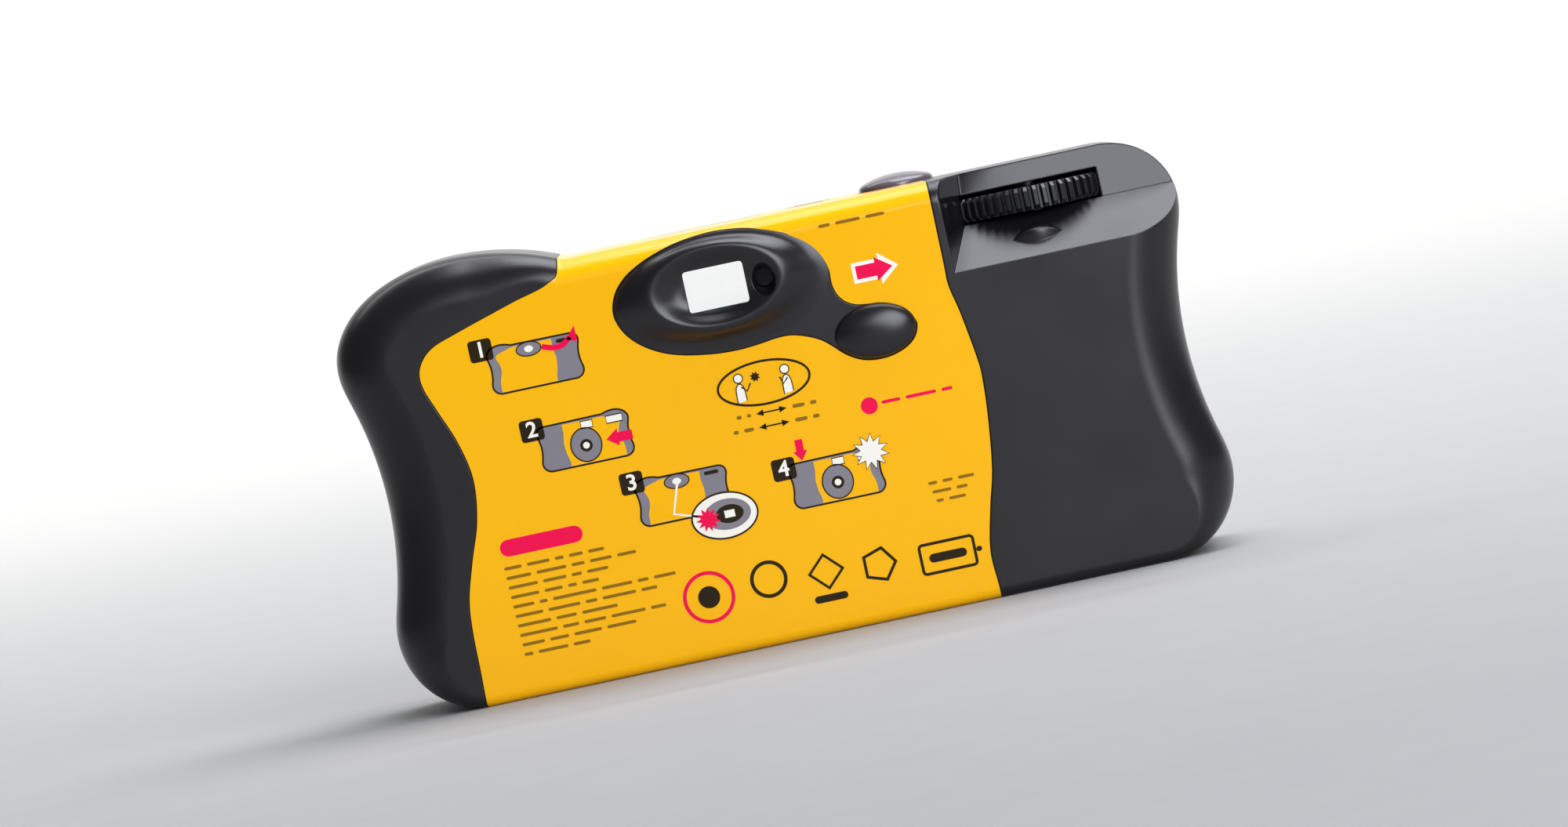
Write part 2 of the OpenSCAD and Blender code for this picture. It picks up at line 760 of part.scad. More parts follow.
// Frame that holds the film: gate, light tunnel and the two film chambers
module chassis() {
    gate_x0 = cart_x + chamber_out + 0.4;
    gate_x1 = gate_w / 2 + supply_room - 0.2;
    gate_top = ceiling_z1 - 0.1;
    gate_low = film_z - film_w / 2 - 1.5;
    tunnel = 1.2;
    color("#1f1f22")
    difference() {
        union() {
            box(gate_x0, gate_x1, gate_y0, gate_y1, gate_low, gate_top);
            box(gate_x0, gate_x0 + 14, gate_y0, gate_y1, gate_top - 1, deck_z0);
            box(eye_x - 4, eye_x + 4, gate_y0, gate_y1, gate_top - 1, eye_z - finder_half(gate_y0) - run);
            box(gate_x0, gate_x0 + 14, deck_y1 - 3, gate_y0 + 0.5, deck_z0 - 1.5, deck_z0);
            for (z = [-0.45 * film_w - 0.6, 0.45 * film_w - 0.4])
                box(gate_x0, gate_x1, gate_y1 - 0.5, rail_y, film_z + z, film_z + z + 1);
            ring_loft([
                rect_ring([0, lens_z], throat_w, throat_h, board_y1),
                rect_ring([0, lens_z], gate_w + 2 * tunnel, gate_h + 2 * tunnel, gate_y0 + 0.5)
            ]);
            chamber_wall(cart_x, 0, chamber_out, frame_wall, cart_lift + 1.5, deck_z0);
            box(
                cart_x + cartridge_r - 0.9, gate_x0 + 1, gate_y0 - 1.2, gate_y0 + 0.8,
                cart_lift + 1.5, deck_z0
            );
            chamber_wall(supply_x, supply_y, supply_out, frame_wall, wall + gap, ceiling_z1);
            box(gate_x1 - 1, gate_x1 + 3.3, gate_y0 - 1.2, gate_y0 + 0.8, gate_low, gate_top);
            chamber_plate(wall + gap, wall + gap + frame_wall);
            chamber_plate(ceiling_z1 - ceiling_t, ceiling_z1);
            rod_z(supply_x, supply_y, core_r / 2, wall + gap, spool_z0 + 6);
            box(
                gate_x0, sprocket_x + 2.4, sprocket_y - 2.6, gate_y0 + 0.5,
                sprocket_z - bearing_drop, sprocket_z - bearing_drop + 2
            );
            box(rib_x1 - rib_t, rib_x1, cell_y - 4, cell_y + 6, wall + gap, cell_z + cell_r + 2);
            box(
                cart_x + chamber_out - frame_wall, rib_x1, cell_y + 5, cell_y + 6,
                wall + 3, cell_z + cell_r + 2
            );
        }
        box(-gate_w / 2, gate_w / 2, gate_y0 - 0.1, gate_y1 + 1, film_z - gate_h / 2, film_z + gate_h / 2);
        ring_loft([
            rect_ring([0, lens_z], throat_w - 2 * tunnel, throat_h - 2 * tunnel, board_y1 - 0.1),
            rect_ring([0, lens_z], gate_w, gate_h, gate_y0 + 0.6)
        ]);
        rod_z(
            sprocket_x, sprocket_y, pitch_r + 1.4,
            sprocket_z - sprocket_t / 2 - gap, sprocket_z + sprocket_t / 2 + gap
        );
        rod_z(sprocket_x, sprocket_y, shaft_r + run, sprocket_z - 9, sprocket_z);
        rod_z(sprocket_x, sprocket_y, shaft_r + gap, sprocket_z, deck_z0 + 1);
    }
}

// Round wall of a film chamber, open towards the back
module chamber_wall(x, y, r, t, z0, z1) {
    difference() {
        rod_z(x, y, r, z0, z1);
        rod_z(x, y, r - t, z0 - 1, z1 + 1);
        box(x - r - 1, x + r + 1, gate_y0 - 0.2, y + r + 1, z0 - 1, z1 + 1);
    }
}

// End plate of the supply chamber
module chamber_plate(z0, z1) {
    difference() {
        rod_z(supply_x, supply_y, supply_out, z0, z1);
        box(
            supply_x - supply_out - 1, supply_x + supply_out + 1,
            gate_y0 - 0.2, supply_y + supply_out + 1, z0 - 1, z1 + 1
        );
    }
}

module mechanism_plate() {
    color("#3a3a40")
    difference() {
        union() {
            box(deck_x0, deck_x1, deck_y0, deck_y1, deck_z0, deck_z1);
            rod_z(lever_x, lever_y, post_r, deck_z0, counter_z0 + counter_t + gap);
            rod_z(meter_x, meter_y, post_r, deck_z0, lever_z0 + lever_t + gap);
            rod_z(pawl_x, pawl_y, post_r, deck_z0, wheel_z0 + gap + pawl_t + run);
        }
        rod_z(cart_x, 0, hub_r + run, deck_z0 - 1, deck_z1 + 1);
        rod_z(sprocket_x, sprocket_y, shaft_r + run, deck_z0 - 1, deck_z1 + 1);
        box(lever_x - 4, deck_x1 + 1, deck_y0 - 1, deck_y0 + 3.7, deck_z0 - 1, deck_z1 + 1);
    }
}

module film_cartridge_shell() {
    tin_t = 0.5;
    lip_t = 0.45;
    slit = 0.2;
    z0 = cart_lift + cap_t;
    z1 = cart_z1 - cap_t;
    color("#3c3d42")
    difference() {
        union() {
            rod_z(cart_x, 0, cartridge_r, z0, z1);
            box(
                cart_x + 4, cart_x + cartridge_r + lip_len,
                film_y - slit - lip_t, film_y + slit + lip_t, z0 + 1, z1 - 1
            );
        }
        rod_z(cart_x, 0, cartridge_r - tin_t, z0 - 1, z1 + 1);
        box(
            cart_x, cart_x + cartridge_r + 9, film_y - slit, film_y + slit,
            film_z - film_w / 2 - slit, film_z + film_w / 2 + slit
        );
    }
}

module cartridge_end_caps() {
    color(tin)
    for (z = [cart_lift, cart_z1 - cap_t])
        difference() {
            rod_z(cart_x, 0, cartridge_r, z, z + cap_t);
            rod_z(cart_x, 0, hub_r + run, z - 1, z + cap_t + 1);
        }
}

module cartridge_spool() {
    color("#e8e6df")
    difference() {
        rod_z(cart_x, 0, hub_r, cart_lift + 0.1, deck_z1 + 0.8);
        key(run);
        rod_z(cart_x, 0, hub_r - 1.4, cart_lift, cart_lift + 5);
    }
}

// Blade that turns the cartridge's spool, grown by e
module key(e) {
    box(cart_x - hub_r - 1, cart_x + hub_r + 1, -0.8 - e, 0.8 + e, deck_z0 - 2 - e, deck_z1 + 2);
}

module film_strip() {
    x0 = cart_x + cartridge_r - 2;
    perf_n = 12;
    perf_w = 2;
    perf_h = 2.8;
    color("#8a6f5a")
    difference() {
        box(x0, supply_x, film_y - film_t / 2, film_y + film_t / 2, film_z - film_w / 2, film_z + film_w / 2);
        for (i = [0 : perf_n - 1], z = [-perf_z, perf_z])
            translate([sprocket_x + (i - 0.5) * perf_pitch, film_y, film_z + z])
                cube([perf_w, 1, perf_h], center = true);
        translate([sprocket_x, film_y, sprocket_z])
            cube([8.8, 1, perf_h], center = true);
    }
}

module supply_film_roll() {
    color("#75604f")
    difference() {
        rod_z(supply_x, supply_y, roll_r, film_z - film_w / 2, film_z + film_w / 2);
        rod_z(supply_x, supply_y, core_r, film_z - film_w, film_z + film_w);
    }
}

module supply_spool() {
    color("#202024")
    difference() {
        rod_z(supply_x, supply_y, core_r, spool_z0, spool_z1);
        rod_z(supply_x, supply_y, core_r / 2 + run, spool_z0 - 1, spool_z0 + 6 + gap);
    }
}

module thumbwheel() {
    step = 360 / wheel_ribs;
    root = wheel_r - rib_h;
    rib = [[-0.34, root], [-0.18, wheel_r], [0.18, wheel_r], [0.34, root]];
    color("#3b3b40")
    union() {
        translate([cart_x, 0, wheel_z0])
            linear_extrude(wheel_t)
                polygon([
                    for (i = [0 : wheel_ribs - 1], p = rib)
                        p[1] * [cos(step * (i + p[0])), sin(step * (i + p[0]))]
                ]);
        rod_z(cart_x, 0, hub_r, deck_z1 + 0.8, wheel_z0 + 0.5);
        intersection() {
            key(0);
            rod_z(cart_x, 0, hub_r, deck_z0 - 5, wheel_z0);
        }
        rod_z(cart_x, 0, hub_r / 2, wheel_z1 - 0.5, in_top - gap);
    }
}

module anti_reverse_pawl() {
    color("#d9d9d4")
    difference() {
        translate([pawl_x, pawl_y, wheel_z0 + gap])
            linear_extrude(pawl_t)
                union() {
                    circle(post_r + 1);
                    arm(pawl_turn, pawl_reach, 1.4);
                    arm(pawl_turn + 150, 4, 1);
                }
        rod_z(pawl_x, pawl_y, post_r + run, wheel_z0 - 1, wheel_z1 + 1);
    }
}

module film_sprocket() {
    step = 360 / teeth;
    tooth = [[-0.22, -0.2], [-0.12, tooth_h], [0.12, tooth_h], [0.22, -0.2]];
    color("#e4e2da")
    union() {
        translate([sprocket_x, sprocket_y, sprocket_z - sprocket_t / 2])
            linear_extrude(sprocket_t)
                polygon([
                    for (i = [0 : teeth - 1], p = tooth)
                        (pitch_r + p[1]) * [cos(step * (i + p[0])), sin(step * (i + p[0]))]
                ]);
        rod_z(sprocket_x, sprocket_y, shaft_r, sprocket_z - bearing_drop, deck_z1 + gap);
    }
}

module metering_cam() {
    color("#d0cec6")
    difference() {
        union() {
            rod_z(sprocket_x, sprocket_y, cam_r, deck_z1 + gap, deck_z1 + gap + lever_t);
            rod_z(sprocket_x, sprocket_y, shaft_r, deck_z1 + gap, deck_z1 + gap + lever_t + 0.6);
        }
        box(
            sprocket_x + cam_r - 0.8, sprocket_x + cam_r + 1,
            sprocket_y - 0.9, sprocket_y + 0.9, deck_z1, deck_z1 + 9
        );
    }
}

module metering_lever() {
    color("#c9c7c0")
    difference() {
        translate([meter_x, meter_y, lever_z0])
            linear_extrude(lever_t)
                union() {
                    circle(post_r + 0.9);
                    arm(meter_turn, meter_len, 1.6);
                    arm(meter_turn + 48, 8, 1.8);
                }
        rod_z(meter_x, meter_y, post_r + run, lever_z0 - 1, lever_z0 + lever_t + 1);
    }
}

module shutter_lever() {
    color("#c4c2ba")
    difference() {
        union() {
            translate([lever_x, lever_y, lever_z0])
                linear_extrude(lever_t)
                    union() {
                        circle(post_r + 1.3);
                        arm(100, 4.4, 1.6);
                    }
            box(finger_x1 - finger_w, finger_x1, finger_y, lever_y, lever_z0, lever_z0 + lever_t);
            box(
                finger_x1 - finger_w, finger_x1, finger_y, blade_y + blade_t + 0.5,
                finger_low, lever_z0 + lever_t
            );
        }
        rod_z(lever_x, lever_y, post_r + run, lever_z0 - 1, lever_z0 + lever_t + 1);
    }
}

module lever_spring() {
    wire = 0.2;
    color(tin)
    translate([lever_x, lever_y, 0])
        coil(post_r + 0.6, wire, lever_z0 + lever_t + gap + wire, counter_z0 - gap - wire, 2);
}

module shutter_blade() {
    reach = [-pivot_x, lens_z - pivot_z];
    color("#232326")
    slab(blade_y, blade_y + blade_t)
        difference() {
            union() {
                translate([pivot_x, pivot_z]) {
                    circle(pivot_r + 1.2);
                    arm(atan2(reach.y, reach.x), norm(reach), 2.6);
                    arm(90, tab_top - pivot_z, tab_w);
                }
                translate([0, lens_z])
                    circle(stop_r + 1);
            }
            translate([pivot_x, pivot_z])
                circle(pivot_r + run);
        }
}

module lens_board() {
    color("#28282b")
    difference() {
        union() {
            box(-board_half, board_half, board_y0, board_y1, board_low, board_high);
            rod_y(pivot_x, pivot_z, pivot_r, board_y0 - blade_room, board_y0 + 0.2);
            for (x = [-board_half + 1, board_half - 1], z = [-board_half + 1, board_half - 2])
                rod_y(x, lens_z + z, 0.8, board_y0 - blade_room, board_y0 + 0.2);
        }
        rod_y(0, lens_z, stop_r, board_y0 - 1, board_y1 + 1);
    }
}

module lens_holder() {
    color("#303034")
    difference() {
        union() {
            box(-board_half, board_half, holder_y0, holder_y0 + holder_t, board_low, lens_z + board_half - 1);
            rod_y(0, lens_z, barrel_r, front, holder_y0 + 0.2);
        }
        rod_y(0, lens_z, lens_r - 1, front - 1, holder_y0 + holder_t + 1);
        rod_y(0, lens_z, lens_r + run, front - 1, lens_seat_y);
    }
}

// Height of a lens surface of radius r over its rim, at x from the axis
function bow(r, x) = sqrt(r ^ 2 - x ^ 2) - sqrt(r ^ 2 - lens_r ^ 2);

module taking_lens() {
    front_bow = 13;
    back_bow = 20;
    edge = 1.6;
    steps = 6;
    color(clear)
    translate([0, lens_seat_y, lens_z])
        rotate([90, 0, 0])
            rotate_extrude()
                polygon(concat(
                    [for (i = [0 : steps]) let (x = lens_r * i / steps) [x, bow(back_bow, x)]],
                    [for (i = [steps : -1 : 0]) let (x = lens_r * i / steps) [x, edge + bow(front_bow, x)]]
                ));
}

module lens_ring() {
    color("#1c1c1e")
    difference() {
        rod_y(0, lens_z, barrel_r, front - ring_t, front);
        translate([0, front + 0.1, lens_z])
            rotate([90, 0, 0])
                cylinder(r1 = lens_r - 1, r2 = lens_r + 0.4, h = ring_t + 0.2);
    }
}

module viewfinder_frame() {
    y0 = in_front + run;
    y1 = in_back - run;
    c = [eye_x, eye_z];
    color("#26262a")
    difference() {
        ring_loft([
            rect_ring(c, finder_w + 2 * finder_wall, finder_h + 2 * finder_wall, y0),
            rect_ring(c, eye_w + 2 * finder_wall, eye_h + 2 * finder_wall, y1)
        ]);
        ring_loft([
            rect_ring(c, finder_w + 0.02, finder_h + 0.02, y0 - 0.1),
            rect_ring(c, eye_w, eye_h, y1 + 0.1)
        ]);
    }
}

module viewfinder_front_lens() {
    color(clear)
    box(
        eye_x - finder_w / 2, eye_x + finder_w / 2, front + 0.1, front + 0.1 + pane_t,
        eye_z - finder_h / 2, eye_z + finder_h / 2
    );
}

module eyepiece_lens() {
    color(clear)
    box(
        eye_x - eye_w / 2 + run, eye_x + eye_w / 2 - run, back - pane_t, back,
        eye_z - eye_h / 2 + run, eye_z + eye_h / 2 - run
    );
}

module ready_light_pipe() {
    color("#c8452c")
    rod_y(lamp_x, eye_z, lamp_r, pipe_y0, back + 0.3);
}

module ready_lamp() {
    color("#e8c9a0")
    rod_y(lamp_x, eye_z, lamp_r - gap, pipe_y0 - 4.5, pipe_y0 - run);
}

module shutter_button() {
    base = body_h + 0.4;
    dome = (button_r ^ 2 + (button_rise - 0.4) ^ 2) / (2 * (button_rise - 0.4));
    color(grey)
    union() {
        rod_z(button_x, button_y, button_r + flange_out, flange_z1 - flange_t, flange_z1);
        rod_z(button_x, button_y, button_r, flange_z1 - flange_t, base);
        rod_z(button_x, button_y, stem_r, stem_z0, flange_z1);
        intersection() {
            rod_z(button_x, button_y, button_r, base - 0.2, body_h + button_rise + 1);
            translate([button_x, button_y, body_h + button_rise - dome])
                sphere(dome);
        }
    }
}

module button_spring() {
    color(tin)
    translate([button_x, button_y, 0])
        coil(spring_r, spring_wire, spring_z0, spring_z1, spring_turns);
}

module counter_dial() {
    color("#f0efe9")
    difference() {
        rod_z(lever_x, lever_y, counter_r, counter_z0, counter_z0 + counter_t);
        rod_z(lever_x, lever_y, post_r + run, counter_z0 - 1, counter_z0 + counter_t + 1);
        for (a = [0 : 30 : 330])
            translate([lever_x, lever_y, counter_z0 + counter_t - 0.2])
                rotate(a)
                    translate([counter_r - 1.6, -0.2, 0])
                        cube([1, 0.4, 1]);
    }
}

module counter_window() {
    color(clear)
    counter_box(-run, in_top, body_h - label_t);
}

// Clear window that follows the rounded front, with a flange behind it
module flash_window() {
    proud = 0.3;
    back_y = reflector_y0 - 0.1;
    color("#eef2f4")
    union() {
        intersection() {
            front_block(-proud, split_y);
            box(
                flash_x - flash_w / 2, flash_x + flash_w / 2, front - 1, back_y,
                flash_z - flash_h / 2, flash_z + flash_h / 2
            );
        }
        intersection() {
            front_block(wall + run, split_y);
            box(
                flash_x - flash_w / 2 - flash_lip, flash_x + flash_w / 2 + flash_lip, front, back_y,
                flash_z - flash_h / 2, flash_z + flash_h / 2
            );
        }
    }
}

// Trough of bright metal, with the tube across it near the bottom
function trough(h, d, n) = [
    for (i = [0 : n]) let (s = -1 + 2 * i / n) [d * (1 - s * s), s * h]
];
module flash_reflector() {
    h = reflector_h / 2;
    x0 = flash_x - reflector_w / 2;
    x1 = flash_x + reflector_w / 2;
    color("#d8dadc")
    translate([0, reflector_y0, flash_z])
        difference() {
            bar(x0 - reflector_t, x1 + reflector_t)
                polygon(trough(h + reflector_t, reflector_d + reflector_t, 16));
            bar(x0, x1)
                polygon(concat([[-1, -h], [-1, h]], [for (p = trough(h, reflector_d, 16)) [p.x, -p.y]]));
            translate([0, -reflector_y0, -flash_z])
                rod_x(tube_y, flash_z, tube_r + run, x0 - 9, x1 + 9);
        }
}

module flash_tube() {
    color("#f4f4f0")
    rod_x(tube_y, flash_z, tube_r, flash_x - reflector_w / 2 - 2, flash_x + reflector_w / 2 + 2);
}

module flash_board() {
    color("#2f7d4a")
    box(pcb_x0, pcb_x1, pcb_y0, pcb_y1, ceiling_z1, pcb_z1);
}

module flash_capacitor() {
    x0 = pcb_x1 - 2 - capacitor_len;
    y = in_back - 1.6 - capacitor_r;
    z = pcb_z1 + run + capacitor_r;
    color("#26324a")
    union() {
        rod_x(y, z, capacitor_r, x0 + 0.8, x0 + capacitor_len);
        rod_x(y, z, capacitor_r - 0.6, x0, x0 + 1);
    }
}

module flash_transformer() {
    x0 = pcb_x0 + 1.4;
    y0 = -9;
    color("#c8a02c")
    union() {
        box(x0, x0 + 8, y0, y0 + 1.4, pcb_z1, pcb_z1 + 8);
        box(x0, x0 + 8, y0 + 6.6, y0 + 8, pcb_z1, pcb_z1 + 8);
        box(x0 + 1, x0 + 7, y0 + 1, y0 + 7, pcb_z1, pcb_z1 + 7);
    }
}

module trigger_coil() {
    color(copper)
    rod_z(flash_x - reflector_w / 2 - 5, -3.5, 2.6, pcb_z1, pcb_z1 + 8);
}

module flash_button() {
    dome = 20;
    color("#d23a2c")
    union() {
        rod_y(charge_x, charge_z, charge_r + 0.9, charge_flange_y, charge_flange_y + 1);
        rod_y(charge_x, charge_z, 1.6, charge_flange_y, charge_stem_y);
        intersection() {
            rod_y(charge_x, charge_z, charge_r, front - 2, charge_flange_y + 0.5);
            translate([charge_x, front - 1 + dome, charge_z])
                sphere(dome);
        }
    }
}

module charge_contact() {
    color(copper)
    box(
        charge_x - 1.5, charge_x + 1.5, charge_leaf_y, charge_leaf_y + contact_t,
        charge_z - 3, ceiling_z1
    );
}

module sync_contact() {
    color(copper)
    box(
        board_half - 4, board_half - 1.2, board_y0 - contact_t, board_y0,
        lens_z + 10, eye_z - finder_half(in_front) - gap
    );
}

module battery() {
    color("#50565c")
    union() {
        rod_x(cell_y, cell_z, cell_r, cell_x0, cell_x1 - 0.8);
        rod_x(cell_y, cell_z, 1.9, cell_x1 - 1, cell_x1);
    }
}

module battery_plus_contact() {
    x0 = cell_x1 + run;
    color(copper)
    box(x0, x0 + plate_t, cell_y - 3, cell_y + 3, cell_z - 3, ceiling_z1);
}

module battery_minus_contact() {
    color(copper)
    box(rib_x1, rib_x1 + plate_t, cell_y - 3, cell_y + 3, cell_z - 3.5, cell_z + 4);
}

module film_door() {
    color(black)
    union() {
        difference() {
            intersection() {
                difference() {
                    body_block(0);
                    body_block(wall);
                }
                box(door_x0, pin_x, -door_half, door_half, -1, door_top);
            }
            rod_y(pin_x, pin_z, wall / 2 - 0.1, -back, back);
        }
        difference() {
            rod_y(pin_x, pin_z, wall / 2, -door_half, door_half);
            rod_y(pin_x, pin_z, pin_r + run, -back, back);
        }
        // Ring that keeps the cartridge up
        difference() {
            rod_z(cart_x, 0, pad_r, wall - 0.3, cart_lift - gap);
            rod_z(cart_x, 0, pad_r - 1.5, wall - 1, cart_lift);
        }
    }
}

module film_door_pin() {
    color(tin)
    rod_y(pin_x, pin_z, pin_r, -door_half - 1, door_half + 1);
}

rear_cover();
front_cover();
wrap_label();
chassis();
mechanism_plate();
film_cartridge_shell();
cartridge_end_caps();
cartridge_spool();
film_strip();
supply_film_roll();
supply_spool();
thumbwheel();
anti_reverse_pawl();
film_sprocket();
metering_cam();
metering_lever();
shutter_lever();
lever_spring();
shutter_blade();
lens_board();
lens_holder();
taking_lens();
lens_ring();
viewfinder_frame();
viewfinder_front_lens();
eyepiece_lens();
ready_light_pipe();
ready_lamp();
shutter_button();
button_spring();
counter_dial();
counter_window();
flash_window();
flash_reflector();
flash_tube();
flash_board();
flash_capacitor();
flash_transformer();
trigger_coil();
flash_button();
charge_contact();
sync_contact();
battery();
battery_plus_contact();
battery_minus_contact();
film_door();
film_door_pin();
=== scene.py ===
"""Looks of a single-use film camera with flash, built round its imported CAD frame."""
import math

import bpy
from mathutils import Matrix, Vector


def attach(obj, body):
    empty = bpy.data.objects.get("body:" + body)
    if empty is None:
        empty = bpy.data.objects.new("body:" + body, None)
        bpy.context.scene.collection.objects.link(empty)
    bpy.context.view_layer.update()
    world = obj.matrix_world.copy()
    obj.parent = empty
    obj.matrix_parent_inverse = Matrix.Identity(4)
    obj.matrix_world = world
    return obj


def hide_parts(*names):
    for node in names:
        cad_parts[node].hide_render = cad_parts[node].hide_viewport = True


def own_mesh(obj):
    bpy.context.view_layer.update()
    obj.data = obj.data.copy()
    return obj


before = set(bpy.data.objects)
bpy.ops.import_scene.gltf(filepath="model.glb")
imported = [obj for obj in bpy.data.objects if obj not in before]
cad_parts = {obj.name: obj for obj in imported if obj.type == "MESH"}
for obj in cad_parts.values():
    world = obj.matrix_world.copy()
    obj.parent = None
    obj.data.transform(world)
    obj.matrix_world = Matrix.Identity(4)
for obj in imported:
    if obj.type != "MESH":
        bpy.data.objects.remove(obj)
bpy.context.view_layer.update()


# ---------------------------------------------------------------- Rear cover
# One injection moulding in black polystyrene with a satin mould finish. It snaps on the hooks of the
# front cover. The pocket for the wrap, the thumb recess with its wheel slot and the raised eyepiece
# ring with the lobe below it are all part of the moulding.

def arc(centre, r, start, end, n, side=1):
    """Points on an arc in x and z, in mm, each with its outward direction."""
    turns = [math.radians(start + (end - start) * i / n) for i in range(n + 1)]
    ways = [(math.cos(a), math.sin(a)) for a in turns]
    return [(centre[0] + r * u, centre[1] + r * v, side * u, side * v) for u, v in ways]


def eased(curve):
    """A row of points with its changes of curve softened over a few millimetres."""
    for _ in range(6):
        threes = zip(curve, curve[1:], curve[2:])
        middle = [[(a + 2 * b + c) / 4 for a, b, c in zip(*near)] for near in threes]
        curve = [curve[0], *middle, curve[-1]]
    return curve


def outline(d):
    """The body's waisted outline with its hump, drawn in by d mm."""
    low, up, waist = (47.2, 11.0), (49.5, 48.2), (106.4419, 29.2881)
    low_r, up_r, waist_r = 11, 9, 51
    hump_x, hump_wide, hump_high = 40.5, 18, 12.4
    crown_z, crown_r, flat_top = 23.6, 37, 33.6
    low_turn = math.degrees(math.atan2(waist[1] - low[1], waist[0] - low[0]))
    up_turn = math.degrees(math.atan2(waist[1] - up[1], waist[0] - up[0]))
    half = (
        arc(low, low_r - d, -90, low_turn, 26)
        + arc(waist, waist_r + d, 180 + low_turn, 180 + up_turn, 42, -1)[1:]
    )
    hump = arc(up, up_r - d, up_turn, 0, 4)[1:]
    for i in range(1, 31):
        a, rx, rz = math.radians(90 * i / 30), hump_wide - d, hump_high - d
        m = Vector((math.cos(a) / rx, math.sin(a) / rz)).normalized()
        hump.append((hump_x + rx * math.cos(a), up[1] + rz * math.sin(a), m.x, m.y))
    end = 180 - math.degrees(math.asin((flat_top - d) / (crown_r - d)))
    hump += arc((hump_x, crown_z), crown_r - d, 90, end, 20)[1:]
    corner = arc(up, up_r - d, up_turn, 90, 22)[1:]
    thumb_end = [(-x, z, -nx, nz) for x, z, nx, nz in reversed(eased(half + corner))]
    return eased(half + hump) + thumb_end


BACK = 16  # from the middle to the flat back and the flat front, in mm


def ring(d, turn, side):
    """The outline at one angle of the edge rounding, large at the ends and small on the base."""
    base_r, top_r, hump_r, end_r = 1.5, 3, 6.5, 7.5
    points = []
    for x, z, nx, nz in outline(d):
        k = min(max((x - 25.5) / 13, 0), 1)
        small = base_r if nz < 0 else top_r + (hump_r - top_r) * k ** 2 * (3 - 2 * k)
        r = max(small + (end_r - small) * nx * nx - d, 0.4)
        e = r * (1 - math.cos(turn))
        points.append((x - nx * e, side * (BACK - d - r * (1 - math.sin(turn))), z - nz * e))
    return points


def loft(name, rings):
    """A closed solid through rings of points, in mm, that run the same way round."""
    bpy.ops.object.select_all(action="DESELECT")
    bpy.ops.mesh.primitive_grid_add(x_subdivisions=len(rings[0]), y_subdivisions=len(rings) - 1)
    piece = bpy.context.object
    piece.name = piece.data.name = name
    spots = [spot for points in rings for spot in (*points, points[0])]
    for vertex, spot in zip(piece.data.vertices, spots):
        vertex.co = Vector(spot) * 0.001
    bpy.ops.object.mode_set(mode="EDIT")
    bpy.ops.mesh.select_all(action="SELECT")
    bpy.ops.mesh.remove_doubles(threshold=1e-6)
    bpy.ops.mesh.select_all(action="SELECT")
    bpy.ops.mesh.fill_holes(sides=0)
    bpy.ops.mesh.select_all(action="SELECT")
    bpy.ops.mesh.normals_make_consistent(inside=False)
    bpy.ops.object.mode_set(mode="OBJECT")
    return piece


def body(name, d, part=0, at=3.0):
    """The rounded body drawn in by d mm: whole, or only in front of (-1) or behind (1) y = at."""
    turns = [math.pi / 2 * i / 12 for i in range(13)]
    front = [ring(d, a, -1) for a in reversed(turns)]
    rear = [ring(d, a, 1) for a in turns]
    middle = [(x, at, z) for x, _, z in ring(d, 0, 1)]
    return loft(name, {0: front + rear, 1: [middle] + rear, -1: front + [middle]}[part])


def slab(points, y0, y1):
    """A flat shape in x and z, given a depth."""
    return loft("slab", [[(x, y, z) for x, z in points] for y in (y0, y1)])


def block(x0, x1, y0, y1, z0, z1):
    return slab([(x0, z0), (x1, z0), (x1, z1), (x0, z1)], y0, y1)


def circle(r, n=64):
    return [(r * math.cos(2 * math.pi * i / n), r * math.sin(2 * math.pi * i / n)) for i in range(n)]


def oval(cx, cz, a, b, y, n=120):
    return [(cx + a * u, y, cz + b * v) for u, v in circle(1, n)]


def rounded(x, z, a, b, n):
    """A rectangle with round corners: half sides a and b, and 0.5 mm added all round."""
    return [(x + math.copysign(a, u) + u, z + math.copysign(b, v) + v) for u, v in circle(0.5, n)]


def rod_y(x, z, r, y0, y1):
    return loft("rod", [oval(x, z, r, r, y, 64) for y in (y0, y1)])


def turned(name, x, y, profile, n=96):
    """A piece turned about an upright axis, from pairs of radius and height."""
    return loft(name, [[(x + r * u, y + r * v, z) for u, v in circle(1, n)] for r, z in profile])


def pick(piece):
    """Makes one piece the active one and the only one selected."""
    bpy.ops.object.select_all(action="DESELECT")
    bpy.context.view_layer.objects.active = piece
    piece.select_set(True)


def work(piece, tool, how="DIFFERENCE"):
    """Cuts, trims or joins a solid with another one, which is used up."""
    pick(piece)
    step = piece.modifiers.new("work", "BOOLEAN")
    step.operation, step.object, step.solver = how, tool, "EXACT"
    bpy.ops.object.modifier_apply(modifier=step.name)
    bpy.data.objects.remove(tool)
    return piece


def smooth(points, n=8, closed=False):
    """A smooth curve through given points."""
    if closed:
        return smooth([points[-1], *points, points[0], points[1]], n)[n:-n]
    points = [Vector(p) for p in points]
    curve = []
    for i in range(len(points) - 1):
        a, b = points[max(i - 1, 0)], points[i]
        c, d = points[i + 1], points[min(i + 2, len(points) - 1)]
        for t in (k / n for k in range(n)):
            curve.append(0.5 * (2 * b + (c - a) * t + (2 * a - 5 * b + 4 * c - d) * t ** 2
                                + (3 * b - a - 3 * c + d) * t ** 3))
    return [tuple(p) for p in curve]


def grown(points, e):
    """A closed outline moved out by e mm; it runs counter-clockwise."""
    moved = []
    for i, p in enumerate(points):
        a, b = Vector(points[i - 1]), Vector(points[(i + 1) % len(points)])
        along = (b - a).normalized()
        moved.append((p[0] + along.y * e, p[1] - along.x * e))
    return moved


